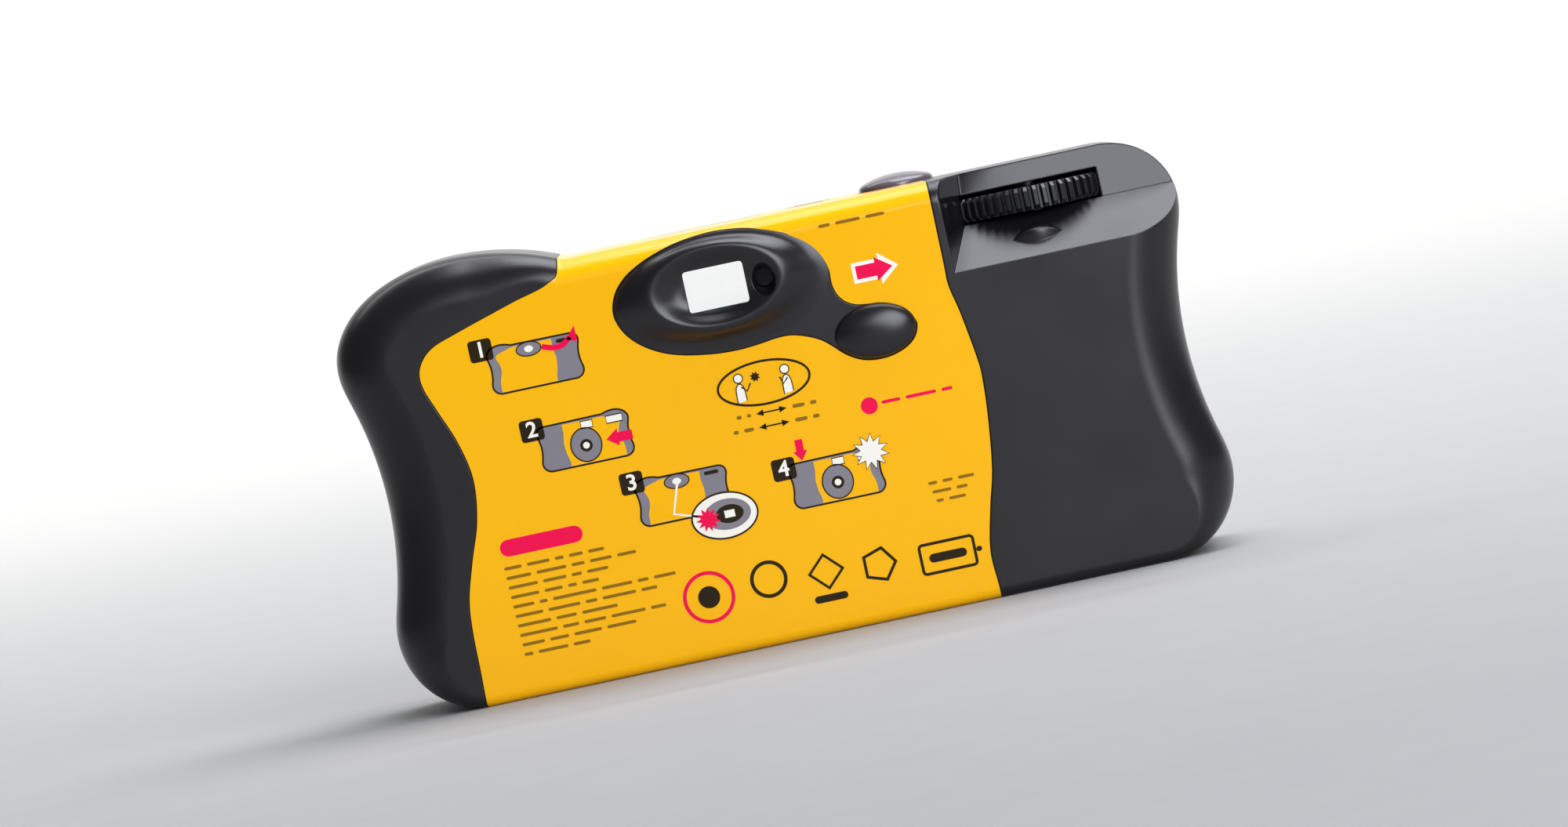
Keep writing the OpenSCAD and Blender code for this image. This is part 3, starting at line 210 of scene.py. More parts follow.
def wrap_outline(e):
    """Edges of the wrap at the flash end and the thumb end, grown by e mm."""
    flash = smooth([
        (32.7, -11), (32.6, 0.3), (30.7, 2.8), (25.5, 4.3), (17.5, 6.7), (13.6, 8.1),
        (11.6, 10.2), (11.3, 12.7), (12.5, 16.2), (14.4, 21.2), (15.4, 26.5), (14.7, 32.2),
        (13, 37.2), (11.5, 42.2), (11, 46.5), (10.9, 52.2), (10.8, 56.2), (10.7, 64),
    ])
    thumb = smooth([
        (-1.7, -6), (-1.7, 1), (-1.9, 6.5), (-0.7, 12.3), (0.6, 17.3), (1.5, 24), (1.9, 29.8),
        (1.7, 33), (0.8, 39), (0, 43), (0, 47), (0, 68),
    ])
    end_x, top_z, thumb_x = 58.5, 57.2, -25.1
    flash = [(end_x - x + e, top_z - z) for x, z in flash]
    return flash + [(thumb_x - x - e, z) for x, z in thumb]


def eyepiece_outline(e):
    """The black island in the wrap: the eyepiece ring with its lobe, grown by e mm."""
    seen = [
        (20, 48.5), (19.3, 51), (17.6, 53), (15, 54.55), (12, 55.65), (9, 56.35), (5, 56.7),
        (1, 56.4), (-2, 55.6), (-5, 54.3), (-7.5, 52.5), (-9.1, 50.5), (-9.8, 48.5), (-9.8, 46.5),
        (-10.15, 45), (-11, 43.8), (-12.3, 43.05), (-13.9, 42.75), (-15.6, 42.6), (-17.3, 42.05),
        (-18.8, 41), (-19.8, 39.5), (-19.95, 38.4), (-19.3, 37), (-18, 35.95), (-16.1, 35.25),
        (-14, 35.05), (-12, 35.35), (-10.4, 36.1), (-9.2, 37), (-8.1, 38.1), (-6.8, 39.2),
        (-5, 40.1), (-3, 40.7), (-1, 40.75), (1.5, 40.45), (4.5, 40.25), (8, 40.45), (12, 41.15),
        (15, 42.25), (17.5, 43.9), (19.25, 46),
    ]
    return grown(smooth(seen, 6, True), e)


# Axes of the lens and the flash button in x and z, and of the shutter button in x and y; the finder
LENS, FLASH_BUTTON, SHUTTER_BUTTON = (0, 23.7), (38.5, 33.5), (-21.5, -5.2)
FINDER_X, FINDER_Z = 5.63, 49.25


def wrap_holes(e):
    """Solids for the black areas that show through the wrap, grown by e mm."""
    yield slab(eyepiece_outline(e), 4, 30)
    yield rod_y(*LENS, 16.5 + e, -30, -8)
    side = 8.3 + e
    yield slab([
        (-13.5 - e, 31.7), (14 + e, 31.7), (FINDER_X + side, 44.25), (FINDER_X + side, 70),
        (FINDER_X - side, 70), (FINDER_X - side, 44.25),
    ], -30, -8)
    yield block(30 - e, 80, -30, -8, 42.2 - e, 70)
    yield rod_y(*FLASH_BUTTON, 6 + e, -30, -8)
    yield turned("hole", *SHUTTER_BUTTON, [(5.8 + e, 50), (5.8 + e, 70)])
    yield block(-12.17 - e, -6.17 + e, -11.7 - e, -6.5 + e, 50, 70)


def pocket(depth, slip):
    """The shallow room that the wrap lies in."""
    room = slab(wrap_outline(slip), -30, 30)
    for hole in wrap_holes(-slip):
        work(room, hole)
    return work(room, body("core", depth))


# The ledge meets the recess's upper wall at this y and z; the end wall leans away from its foot
FOOT_Y, FOOT_Z, LEDGE_FALL, WALL_LEAN = 8.2, 50.1, 0.7436, 0.2
END_X, END_LEAN = -26.3, 0.37


def thumb_room(t):
    """Space of the thumb recess, moved in by t mm: a ledge, an upper wall and a leaning end wall."""
    profile = [(24, 38.351), (FOOT_Y, FOOT_Z), (5.18, 65.2), (24, 65.2)]
    profile = [(y - t, z - t) for y, z in profile]
    end = [(END_X + t + END_LEAN * (y - BACK), y, z) for y, z in profile]
    return loft("thumb room", [[(-80, y, z) for y, z in profile], end])


HINGE = (-25, 0.8)
DOOR_END, DOOR_SIDE, DOOR_TOP, DOOR_PLAY = -52.7, 12.8, 4.5, 0.3


def door_room(e):
    """What the film door and its hinge take out of the covers, grown by e mm."""
    side = DOOR_SIDE + e
    room = block(DOOR_END - e, HINGE[0], -side, side, -1, DOOR_TOP + e)
    work(room, block(-26, -24.2 + e, -side, side, -1, HINGE[1]), "UNION")
    return work(room, rod_y(*HINGE, 0.8 + e, -side, side), "UNION")


SKIN, WALL = 0.02, 1.6  # how far the looks lie inside the CAD solids, and the covers' wall, in mm
wrap_pocket = pocket(0.3, 0.12)
rear = body("rear_cover_looks", SKIN, 1)
tool = wrap_pocket.copy()
tool.data = wrap_pocket.data.copy()
bpy.context.collection.objects.link(tool)
work(rear, tool)
work(rear, work(body("room", WALL, 1, 2.0), thumb_room(1.0)))

# Ovals of the eyepiece ring, from its foot over the crest into the bowl: middle, half sizes and y
eyepiece_ring = [
    (5.0, 48.5, 14.8, 8.05, 15.0), (5.0, 48.5, 14.8, 8.05, 15.97), (5.06, 48.55, 14.62, 7.86, 16.01),
    (5.2, 48.7, 14.4, 7.6, 16.08), (5.4, 48.9, 14.1, 7.2, 16.2), (5.58, 49.04, 13.75, 6.88, 16.36),
    (5.65, 49.1, 13.4, 6.72, 16.53), (5.7, 49.2, 12.4, 6.5, 17.0), (5.7, 49.3, 11.4, 6.3, 17.52),
    (5.7, 49.35, 10.6, 6.08, 17.95), (5.7, 49.4, 9.9, 5.82, 18.28), (5.7, 49.4, 9.45, 5.6, 18.43),
    (5.7, 49.4, 9.0, 5.35, 18.5), (5.7, 49.4, 8.6, 5.1, 18.47), (5.7, 49.38, 8.1, 4.8, 18.34),
    (5.68, 49.35, 7.4, 4.4, 18.05), (5.66, 49.3, 6.7, 4.0, 17.72), (5.64, 49.27, 6.0, 3.62, 17.42),
    (5.63, 49.25, 5.3, 3.25, 17.2), (5.63, 49.25, 4.4, 2.8, 17.1),
]
work(rear, loft("ring", [oval(*row) for row in eyepiece_ring]), "UNION")

# The lobe below it is a low dome
lobe_x, lobe_z, lobe_wide, lobe_high, lobe_rise = -14.3, 38.95, 5.55, 3.7, 1.55
dome = [oval(lobe_x, lobe_z, lobe_wide, lobe_high, BACK - 1)]
for a in (math.radians(t) for t in range(0, 88, 6)):
    k = math.cos(a)
    dome.append(oval(lobe_x, lobe_z, lobe_wide * k, lobe_high * k, BACK + lobe_rise * math.sin(a)))
work(rear, loft("lobe", dome), "UNION")

# Ribs inside hold the film flat
for z in (6.9, 17.75, 29.65, 40.5):
    work(rear, block(-22, 26, 9.37, 14.8, z - 0.5, z + 0.5), "UNION")

# The thumb recess, the wheel's slot, the finder's window, the ready light's dimple and hole, and the
# room for the film door
work(rear, thumb_room(0))
work(rear, block(-48.3, -29.2, 3.5, 17, FOOT_Z, 54.2))
work(rear, slab(rounded(FINDER_X, FINDER_Z, 3.635, 2.35, 30), 13.4, 21))
work(rear, loft("dimple", [
    oval(-0.75, 49.0, 1.6 * k, 2.2 * k, 15.6 + 2.2 * k ** 3)
    for k in (0.1, 0.4, 0.6, 0.75, 0.88, 1.0, 1.1)
]))
work(rear, rod_y(-1.005, FINDER_Z, 1.26, 13.4, 21))
work(rear, door_room(DOOR_PLAY))

# The pip that the thumb feels on the ledge: one section, drawn small towards both ends
down, out = Vector((0, 0.8025, -0.5967)), Vector((0, 0.5967, 0.8025))
shape = [
    (-2.8, -0.3), (-2.8, 0), (-1.4, 0.72), (-0.5, 1.2), (0, 1.38), (0.35, 1.36), (0.62, 1.1),
    (1.05, 0.35), (1.3, 0), (1.3, -0.3),
]
pip_half = 3.4
sections = []
for i in range(25):
    u = -1 + i / 12
    k = max(1 - u * u, 0.012)
    middle = Vector((-38.5 + pip_half * u, 12.55, 46.865))
    sections.append([middle + k * (a * down + b * out) for a, b in shape])
work(rear, loft("pip", sections), "UNION")


def soften(piece, chosen, width, steps):
    """Rounds the edges of a moulding that lie where chosen says, in mm."""
    pick(piece)
    bpy.ops.object.mode_set(mode="EDIT")
    bpy.ops.mesh.select_mode(type="EDGE")
    bpy.ops.mesh.select_all(action="DESELECT")
    bpy.ops.object.mode_set(mode="OBJECT")
    spots = [v.co * 1000 for v in piece.data.vertices]
    for edge in piece.data.edges:
        edge.select = all(chosen(*spots[v]) for v in edge.vertices)
    bpy.ops.object.mode_set(mode="EDIT")
    bpy.ops.mesh.bevel(offset=width * 0.001, segments=steps, affect="EDGES", clamp_overlap=True)
    bpy.ops.object.mode_set(mode="OBJECT")


def on_ledge(y, z):
    return abs(z - FOOT_Z + LEDGE_FALL * (y - FOOT_Y)) < 0.02


def on_upper_wall(y, z):
    return abs(y - FOOT_Y + WALL_LEAN * (z - FOOT_Z)) < 0.02


def on_end_wall(x, y, near):
    return abs(x - END_X - END_LEAN * (y - BACK)) < near


def at_end_wall(x, y, z):
    """The end wall's own edges, without its foot on the ledge and the upper wall."""
    return on_end_wall(x, y, 0.01) and z > 44 and not on_ledge(y, z) and not on_upper_wall(y, z)


def at_rim(x, y, z):
    """The rim of the upper wall, clear of the wheel's slot."""
    return on_upper_wall(y, z) and x < -30.2 and (z > 54.6 or x < -49 and z > 50.6)


def finished(piece, angle=32):
    """Smooth shading with clean flats."""
    pick(piece)
    bpy.ops.object.shade_smooth_by_angle(angle=math.radians(angle))
    step = piece.modifiers.new("flats", "WEIGHTED_NORMAL")
    step.keep_sharp = True
    bpy.ops.object.modifier_apply(modifier=step.name)
    return piece


soften(rear, at_end_wall, 0.8, 6)
soften(rear, at_rim, 0.45, 4)
finished(rear)


def linear(code):
    """The scene's colour for an sRGB hex code."""
    parts = [int(code[i:i + 2], 16) / 255 for i in (1, 3, 5)]
    return [p / 12.92 if p <= 0.04045 else ((p + 0.055) / 1.055) ** 2.4 for p in parts] + [1]


def add(tree, kind, inputs=None, **settings):
    """A shader node with its settings; an input is a plain value or another node's output."""
    made = tree.nodes.new("ShaderNode" + kind)
    for key, value in settings.items():
        setattr(made, key, value)
    for key, value in (inputs or {}).items():
        if isinstance(value, bpy.types.NodeSocket):
            tree.links.new(value, made.inputs[key])
        else:
            made.inputs[key].default_value = value
    return made


def blank(name):
    made = bpy.data.materials.new(name)
    made.use_nodes = True
    made.node_tree.nodes.clear()
    return made, made.node_tree


def finish(name, dark, light, rough, grain, depth, edge=0.15, metal=0.0, coat=0.0, shine=0.5):
    """An opaque finish: two close tones in soft patches; grain, its depth and edges in mm."""
    made, tree = blank(name)
    place = add(tree, "TexCoord").outputs["Object"]
    fine = add(tree, "TexNoise", {"Vector": place, "Scale": 1000 / grain, "Detail": 3.0})
    wide = add(tree, "TexNoise", {"Vector": place, "Scale": 90.0, "Detail": 4.0})
    tone = add(tree, "ValToRGB", {"Fac": wide.outputs["Fac"]})
    for element, code in zip(tone.color_ramp.elements, (dark, light)):
        element.color = linear(code)
    gloss = add(tree, "MapRange", {
        "Value": wide.outputs["Fac"], "To Min": rough - 0.05, "To Max": rough + 0.05,
    })
    soft = add(tree, "Bevel", {"Radius": edge * 0.001}, samples=6)
    bump = add(tree, "Bump", {
        "Height": fine.outputs["Fac"], "Strength": 0.5, "Distance": depth * 0.001,
        "Normal": soft.outputs["Normal"],
    })
    shader = add(tree, "BsdfPrincipled", {
        "Base Color": tone.outputs["Color"], "Roughness": gloss.outputs["Result"], "Metallic": metal,
        "Coat Weight": coat, "Coat Roughness": 0.12, "Specular IOR Level": shine,
        "Normal": bump.outputs["Normal"],
    })
    add(tree, "OutputMaterial", {"Surface": shader.outputs["BSDF"]})
    return made


# Black polystyrene: a deep charcoal with a broad satin sheen and a fine spark-eroded grain
black_plastic = finish(
    "moulded black polystyrene", "#141216", "#1a181c", 0.3, 0.25, 0.005, 0.25, shine=0.48)
# The walls above and beside the thumb ledge are polished in the mould, and mirror what is before them
polished_plastic = finish(
    "polished black polystyrene", "#131115", "#18161a", 0.03, 0.4, 0.0001, 0.3, shine=0.31)


def dress(piece, material, slot, body_name, *nodes):
    """Gives a new piece its finish and body, and takes the CAD nodes' place."""
    piece.data.materials.clear()
    piece.data.materials.append(material)
    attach(piece, body_name)
    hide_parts(*nodes)


dress(rear, black_plastic, "black_plastic", "camera_body", "rear_cover")
rear.data.materials.append(polished_plastic)
for face in rear.data.polygons:
    x, y, z = face.center * 1000
    upper = on_upper_wall(y, z) and x < -28 and z > 50
    beside = on_end_wall(x, y, 0.02) and z > 44 and face.normal.x < -0.8
    face.material_index = int(upper or beside)


# ---------------------------------------------------------------- Front cover
# The other half of the shell, in the same polystyrene. It carries the raised ring round the lens, the
# openings for the lens, finder, flash and buttons, and the hooks that the rear cover snaps on.
front = body("front_cover_looks", SKIN, -1)
work(front, wrap_pocket)
work(front, body("room", WALL, -1, 4.0))

# The raised ring round the lens, as pairs of radius and y, and the snap hooks along the top and base
surround = [
    (15.5, -15.2), (15.5, -16), (15.2, -16.75), (14.6, -17.7), (13.9, -18.35), (13.2, -18.58),
    (12.5, -18.55), (11.6, -18.2), (9.5, -17.4), (7.5, -16.85), (6.0, -16.6),
]
work(front, loft("surround", [oval(*LENS, r, r, y, 128) for r, y in surround]), "UNION")
for x in (16.13, -12.67):
    work(front, block(x, x + 6, -1, 6, 54.4, 55.54), "UNION")
    work(front, block(x, x + 6, -1, 3, 54.4, 56), "UNION")
for x in (-10, 12):
    work(front, block(x, x + 6, -1, 6, 1.66, 2.8), "UNION")
    work(front, block(x, x + 6, -1, 3, 1.2, 2.8), "UNION")

# Openings for the lens, finder, flash, flash button, shutter button and counter, and the film door
work(front, rod_y(*LENS, 6.0, -30, -13.4))
work(front, block(-0.87, 12.13, -17, -13.4, 44.55, 53.95))
work(front, block(31.8, 50.2, -17, -10.4, 44, 54.4))
work(front, rod_y(*FLASH_BUTTON, 5.2, -17, -13.4))
work(front, turned("hole", *SHUTTER_BUTTON, [(5.4, 54.6), (5.4, 58.2)]))
work(front, block(-11.17, -7.17, -10.7, -7.5, 54.6, 58.2))
work(front, door_room(DOOR_PLAY))
finished(front)
dress(front, black_plastic, "black_plastic", "camera_body", "front_cover")


# ---------------------------------------------------------------- Film door
# The flap in the base that lets the cartridge out. It is moulded with its hinge barrel, follows the
# rounded body outside, and has a ring inside that keeps the cartridge up.
door = body("film_door_looks", SKIN)
work(door, body("room", WALL))
work(door, block(DOOR_END, HINGE[0], -DOOR_SIDE, DOOR_SIDE, -1, DOOR_TOP), "INTERSECT")
work(door, rod_y(*HINGE, 0.7, -BACK, BACK))
barrel = rod_y(*HINGE, 0.8, -DOOR_SIDE, DOOR_SIDE)
work(barrel, rod_y(*HINGE, 0.56, -BACK, BACK))
work(door, barrel, "UNION")
CARTRIDGE = (-38.7, 0)  # axis of the cartridge and of the wheel over it, in x and y
pad = turned("pad", *CARTRIDGE, [(8, 1.3), (8, 2.4)])
work(pad, turned("hole", *CARTRIDGE, [(6.5, 0.6), (6.5, 2.7)]))
work(door, pad, "UNION")
finished(door)
dress(door, black_plastic, "black_plastic", "door", "film_door")


# ---------------------------------------------------------------- Printed wrap
# A self-adhesive printed film, 0.27 mm thick, that lies flush in the pocket of both covers and holds
# them shut. It goes over the top and the base, and is cut out round everything that stays black.
wrap = body("wrap_looks", 0.0)
work(wrap, slab(wrap_outline(0), -30, 30), "INTERSECT")
for hole in wrap_holes(0):
    work(wrap, hole)
work(wrap, body("core", 0.27))
finished(wrap)

# Yellow ink under a glossy clear film: saturated, a little uneven, with a sharp soft-box glint
wrap_film, tree = blank("printed glossy label film")
place = add(tree, "TexCoord").outputs["Object"]
ripple = add(tree, "TexNoise", {"Vector": place, "Scale": 260.0, "Detail": 2.0})
cloud = add(tree, "TexNoise", {"Vector": place, "Scale": 45.0, "Detail": 5.0})
YELLOW_INK = ("#fdb700", "#ffbe00")
ink = add(tree, "ValToRGB", {"Fac": cloud.outputs["Fac"]})
for element, code in zip(ink.color_ramp.elements, YELLOW_INK):
    element.color = linear(code)
peel = add(tree, "Bump", {"Height": ripple.outputs["Fac"], "Strength": 0.15, "Distance": 0.00002})
shader = add(tree, "BsdfPrincipled", {
    "Base Color": ink.outputs["Color"], "Roughness": 0.3, "Specular IOR Level": 0.1,
    "Coat Weight": 0.35, "Coat Roughness": 0.1, "Normal": peel.outputs["Normal"],
})
add(tree, "OutputMaterial", {"Surface": shader.outputs["BSDF"]})
dress(wrap, wrap_film, "printed_wrap", "camera_body", "wrap_label")


# ---------------------------------------------------------------- Thumbwheel
# Ribbed winding wheel in dark acetal with its hub, drive blade and top pivot in one moulding. The rib
# ends are chamfered, so that each one shows a small bright facet under the slot's edge.
def ribs(most, z):
    """The ribbed rim at one height, with no radius over most."""
    count, root, rim = 58, 11.3, 12.0
    points = []
    for i in range(count):
        for share, r in ((-0.36, root), (-0.2, rim), (0.2, rim), (0.36, root)):
            a, r = 2 * math.pi * (i + share) / count, min(r, most)
            points.append((CARTRIDGE[0] + r * math.cos(a), r * math.sin(a), z))
    return points


rim_rows = ((11.45, 50.4), (12, 50.95), (12, 53.05), (11.45, 53.6))
wheel = loft("thumbwheel_looks", [ribs(*row) for row in rim_rows])
work(wheel, turned("hub", *CARTRIDGE, [(5, 48), (5, 50.9)]), "UNION")
blade = block(-44.7, -32.7, -0.8, 0.8, 44, 49.2)
work(blade, turned("hub", *CARTRIDGE, [(5, 41), (5, 50.4)]), "INTERSECT")
work(wheel, blade, "UNION")
work(wheel, turned("pivot", *CARTRIDGE, [(2.5, 53.1), (2.5, 55.1), (2.3, 55.3)]), "UNION")
finished(wheel)
# Acetal: the same black, more polished by the thumb
wheel_plastic = finish("black acetal", "#131316", "#1a1a1d", 0.3, 0.4, 0.004, 0.12)
dress(wheel, wheel_plastic, "wheel_plastic", "winder", "thumbwheel")


# ---------------------------------------------------------------- Shutter button
# A domed cap moulded in grey polystyrene, with a flange that keeps it under the camera's top and a stem
# that pushes the shutter lever. It stands on a coil spring of steel wire.
button = turned("shutter_button_looks", *SHUTTER_BUTTON, [
    (1.6, 50.1), (1.6, 54.4), (5.6, 54.4), (5.6, 55.4), (5.2, 55.4), (5.2, 57.45), (5.12, 57.72),
    (4.95, 57.92), (4.6, 58.14), (4, 58.37), (3.2, 58.61), (2.2, 58.82), (1.1, 58.95), (0.3, 58.98),
])
finished(button)
# Grey polystyrene, polished: a pale dome against the yellow
button_plastic = finish(
    "polished grey polystyrene", "#564f57", "#645d65", 0.25, 0.6, 0.003, 0.2, coat=0.3)
dress(button, button_plastic, "button_plastic", "release", "shutter_button")

# Its return spring, between the deck and the flange, at its resting length: it rides with the camera body
# and is not squeezed when the button goes down
turns, per_turn, coil_r, wire_r, foot_z, height = 5, 24, 2.4, 0.25, 47.51, 6.58
coil = []
for i in range(turns * per_turn + 1):
    a = 2 * math.pi * i / per_turn
    out = Vector((math.cos(a), math.sin(a), 0))
    z = foot_z + height * i / (turns * per_turn)
    middle = Vector((*SHUTTER_BUTTON, z)) + coil_r * out
    coil.append([middle + u * out + Vector((0, 0, v)) for u, v in circle(wire_r, 12)])
spring = finished(loft("button_spring_looks", coil), 60)
# Spring wire and pins: bright drawn steel
spring_steel = finish("spring steel", "#8f9296", "#a6a9ad", 0.3, 0.2, 0.002, 0.04, metal=1.0)
dress(spring, spring_steel, "spring_steel", "camera_body", "button_spring")
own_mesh(spring)


# ---------------------------------------------------------------- Viewfinder
# A tapered tunnel between two clear panes, so that the bright scene beyond shows in the eyepiece. The
# ready light beside it is a short clear rod with a neon lamp behind, dark until the flash is charged.
def coat(material, *nodes):
    """CAD nodes that keep their shape take a finish."""
    for name in nodes:
        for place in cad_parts[name].material_slots:
            place.material = material


def clear(name, colour, rough, ridge=0.0):
    """Clear plastic or glass; ridges across x, where it has them, are as wide as given, in mm."""
    made, tree = blank(name)
    place = add(tree, "TexCoord").outputs["Object"]
    haze = add(tree, "TexNoise", {"Vector": place, "Scale": 400.0, "Detail": 2.0})
    gloss = add(tree, "MapRange", {
        "Value": haze.outputs["Fac"], "To Min": rough, "To Max": rough + 0.03,
    })
    shader = add(tree, "BsdfPrincipled", {
        "Base Color": linear(colour), "Roughness": gloss.outputs["Result"], "IOR": 1.49,
        "Transmission Weight": 1.0,
    })
    if ridge:
        # Half a wave is pi / 20 units long at scale 1
        scale = 1000 / ridge / 20 * math.pi
        wave = add(tree, "TexWave", {"Vector": place, "Scale": scale}, bands_direction="X")
        bump = add(tree, "Bump", {"Height": wave.outputs["Fac"], "Strength": 1.0, "Distance": 0.0002})
        tree.links.new(bump.outputs["Normal"], shader.inputs["Normal"])
    add(tree, "OutputMaterial", {"Surface": shader.outputs["BSDF"]})
    return made


# Clear acrylic: bright and nearly colourless
clear_plastic = clear("clear acrylic", "#fdfefe", 0.0)
coat(clear_plastic, "eyepiece_lens", "viewfinder_front_lens", "counter_window")
# Inner mouldings: dull black polystyrene that keeps stray light down
inner_plastic = finish("dull black polystyrene", "#0f0f11", "#151517", 0.62, 0.4, 0.01, 0.15)
coat(inner_plastic, "viewfinder_frame", "chassis", "mechanism_plate", "lens_board", "lens_holder",
     "supply_spool")
# Smoked red rod: nearly black when the lamp behind it is off
coat(clear("smoked red acrylic", "#3a0d0b", 0.08), "ready_light_pipe")
# Lamp glass: faintly warm from the electrodes inside
coat(clear("neon lamp glass", "#f2dcc8", 0.02), "ready_lamp")


# ---------------------------------------------------------------- Taking lens
# A single meniscus moulded in clear acrylic. It sits in the lens holder's seat, behind a black ring that
# is pressed into the surround.
def bow(r, x):
    """How far a face of radius r stands out at x from the axis, from its edge on."""
    return math.sqrt(r * r - x * x) - math.sqrt(r * r - 20.25)


steps = [0.15 + 4.35 * i / 14 for i in range(15)]
rear_r, rear_y, front_r, front_y = 20, -13.6, 13, -15.2
lens = loft("taking_lens_looks", [
    *(oval(*LENS, x, x, rear_y - bow(rear_r, x), 96) for x in steps),
    *(oval(*LENS, x, x, front_y - bow(front_r, x), 96) for x in reversed(steps)),
])
finished(lens, 40)
# Coated lens: clear with a faint cold tint
dress(lens, clear("lens acrylic", "#e9eef6", 0.0), "clear_plastic", "camera_body", "taking_lens")
coat(black_plastic, "lens_ring")


# ---------------------------------------------------------------- Flash
# A ribbed clear window that follows the rounded front, with the tube in its bright trough behind. The
# red button below it closes the charging contact.
window = body("flash_window_looks", -0.28, -1)
work(window, block(32, 50, -17, -13.5, 44.2, 54.2), "INTERSECT")
flange = body("flange", 1.66, -1)
work(flange, block(31.2, 50.8, -16, -13.5, 44.2, 54.2), "INTERSECT")
work(window, flange, "UNION")
finished(window)
# Ribbed acrylic: spreads the bright trough into upright stripes
ribbed_plastic = clear("ribbed clear acrylic", "#f4f7f8", 0.02, 1.0)
dress(window, ribbed_plastic, "clear_plastic", "camera_body", "flash_window")
charge = loft("flash_button_looks", [oval(*FLASH_BUTTON, r, r, y, 96) for r, y in (
    (1.6, -12.6), (1.6, -13.2), (5.9, -13.2), (5.9, -14.2), (5, -14.2), (5, -16.1), (4.94, -16.28),
    (4.75, -16.42), (4.3, -16.55), (3.5, -16.7), (2.4, -16.86), (1.2, -16.97), (0.3, -17.0),
)])
finished(charge)
# Red polystyrene, polished: the one bright spot on the front
charge_plastic = finish(
    "polished red polystyrene", "#b3221a", "#c2281e", 0.28, 0.6, 0.003, 0.2, coat=0.3)
dress(charge, charge_plastic, "charge_plastic", "charger", "flash_button")
# Vacuum-metallised trough, and the glass tube with its milky bloom
trough_metal = finish("bright aluminium", "#dcdee0", "#e8e9ea", 0.18, 0.8, 0.003, 0.1, metal=1.0)
coat(trough_metal, "flash_reflector")
coat(clear("flash tube glass", "#f4f6f8", 0.12), "flash_tube")


# ---------------------------------------------------------------- Inside
# Film, mechanism and flash circuit behind the covers: seen through the slot, the windows and the open
# door. They keep the CAD's shape.
# Film base: brown emulsion side with a dull sheen
film_base = finish("film base", "#5a4636", "#6b5443", 0.4, 0.5, 0.002, 0.02)
coat(film_base, "film_strip", "supply_film_roll")
# Cartridge: printed dark tin with bright rolled ends
printed_tin = finish("printed tinplate", "#2e3036", "#3a3c42", 0.32, 0.8, 0.003, 0.1, metal=0.3)
coat(printed_tin, "film_cartridge_shell")
bare_tin = finish("bare tinplate", "#a9adb2", "#c0c3c7", 0.28, 0.5, 0.004, 0.1, metal=1.0)
coat(bare_tin, "cartridge_end_caps")
# Acetal levers and wheels: off-white, slightly waxy
white_plastic = finish("white acetal", "#d8d6cc", "#e4e2da", 0.42, 0.5, 0.004, 0.12)
coat(white_plastic, "cartridge_spool", "anti_reverse_pawl", "film_sprocket", "metering_cam",
     "metering_lever", "shutter_lever", "counter_dial")


def figures(text, size):
    """Flat figures about the origin, as a mesh."""
    bpy.ops.object.select_all(action="DESELECT")
    bpy.ops.object.text_add()
    made = bpy.context.object
    made.data.body, made.data.size = text, size * 0.001
    made.data.align_x, made.data.align_y = "CENTER", "CENTER"
    made.data.offset = 0.00006
    bpy.ops.object.convert(target="MESH")
    return bpy.context.object


def joined(name, pieces):
    """Several pieces made one."""
    pick(pieces[0])
    for piece in pieces:
        piece.select_set(True)
    bpy.ops.object.join()
    made = bpy.context.object
    made.name = made.data.name = name
    return made


# The counter's figures are printed round the dial, and one of them shows in the window in the top
dial_top, figure_out = Matrix.Translation((-0.00917, -0.0045, 0.05242)), (0, -0.0046, 0)
dial = []
for i in range(9):
    figure = figures(str(27 - 3 * i), 2.4)
    figure.data.transform(
        dial_top @ Matrix.Rotation(math.radians(40 * i), 4, "Z")
        @ Matrix.Translation(figure_out) @ Matrix.Rotation(math.pi, 4, "Z"))
    dial.append(figure)
dial = joined("counter_figures", dial)
# Counter ink: flat black on the white dial
counter_ink = finish("black counter ink", "#141416", "#1c1c1e", 0.5, 0.5, 0.001, 0.02)
dial.data.materials.append(counter_ink)
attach(dial, "counter")
coat(spring_steel, "lever_spring", "film_door_pin")
# Shutter steel: blackened, so that no light glances off it on to the film
blade_steel = finish("blackened shutter steel", "#1a1a1c", "#232326", 0.45, 0.3, 0.002, 0.05, metal=0.8)
coat(blade_steel, "shutter_blade")
# Contacts and coil: copper dulled by handling
copper = finish("copper alloy", "#a56a38", "#bd8148", 0.35, 0.4, 0.003, 0.06, metal=1.0)
coat(copper, "trigger_coil", "charge_contact", "sync_contact", "battery_plus_contact",
     "battery_minus_contact")
# Flash circuit: amber polyester tape, green solder resist, and a blue shrunk-on sleeve with a soft gloss
coat(finish("transformer tape", "#b98f22", "#caa02e", 0.4, 0.6, 0.003, 0.1), "flash_transformer")
coat(finish("green circuit board", "#1f5f38", "#2a7547", 0.45, 0.4, 0.004, 0.05), "flash_board")
coat(finish("capacitor sleeve", "#1c2740", "#26324c", 0.35, 0.6, 0.002, 0.15), "flash_capacitor")
# Battery: a grey lacquered foil jacket with a metal glint
coat(finish("battery jacket", "#43494f", "#545a60", 0.3, 0.8, 0.002, 0.2, metal=0.4), "battery")


# ---------------------------------------------------------------- Printing on the wrap
# Numbered step drawings, plain bars and shapes and a winding arrow, screen-printed in flat inks under
# the wrap's clear film. They are generic marks, drawn for this wrap.
printed = {"dark": [], "brown": [], "red": [], "white": [], "grey": [], "yellow": []}


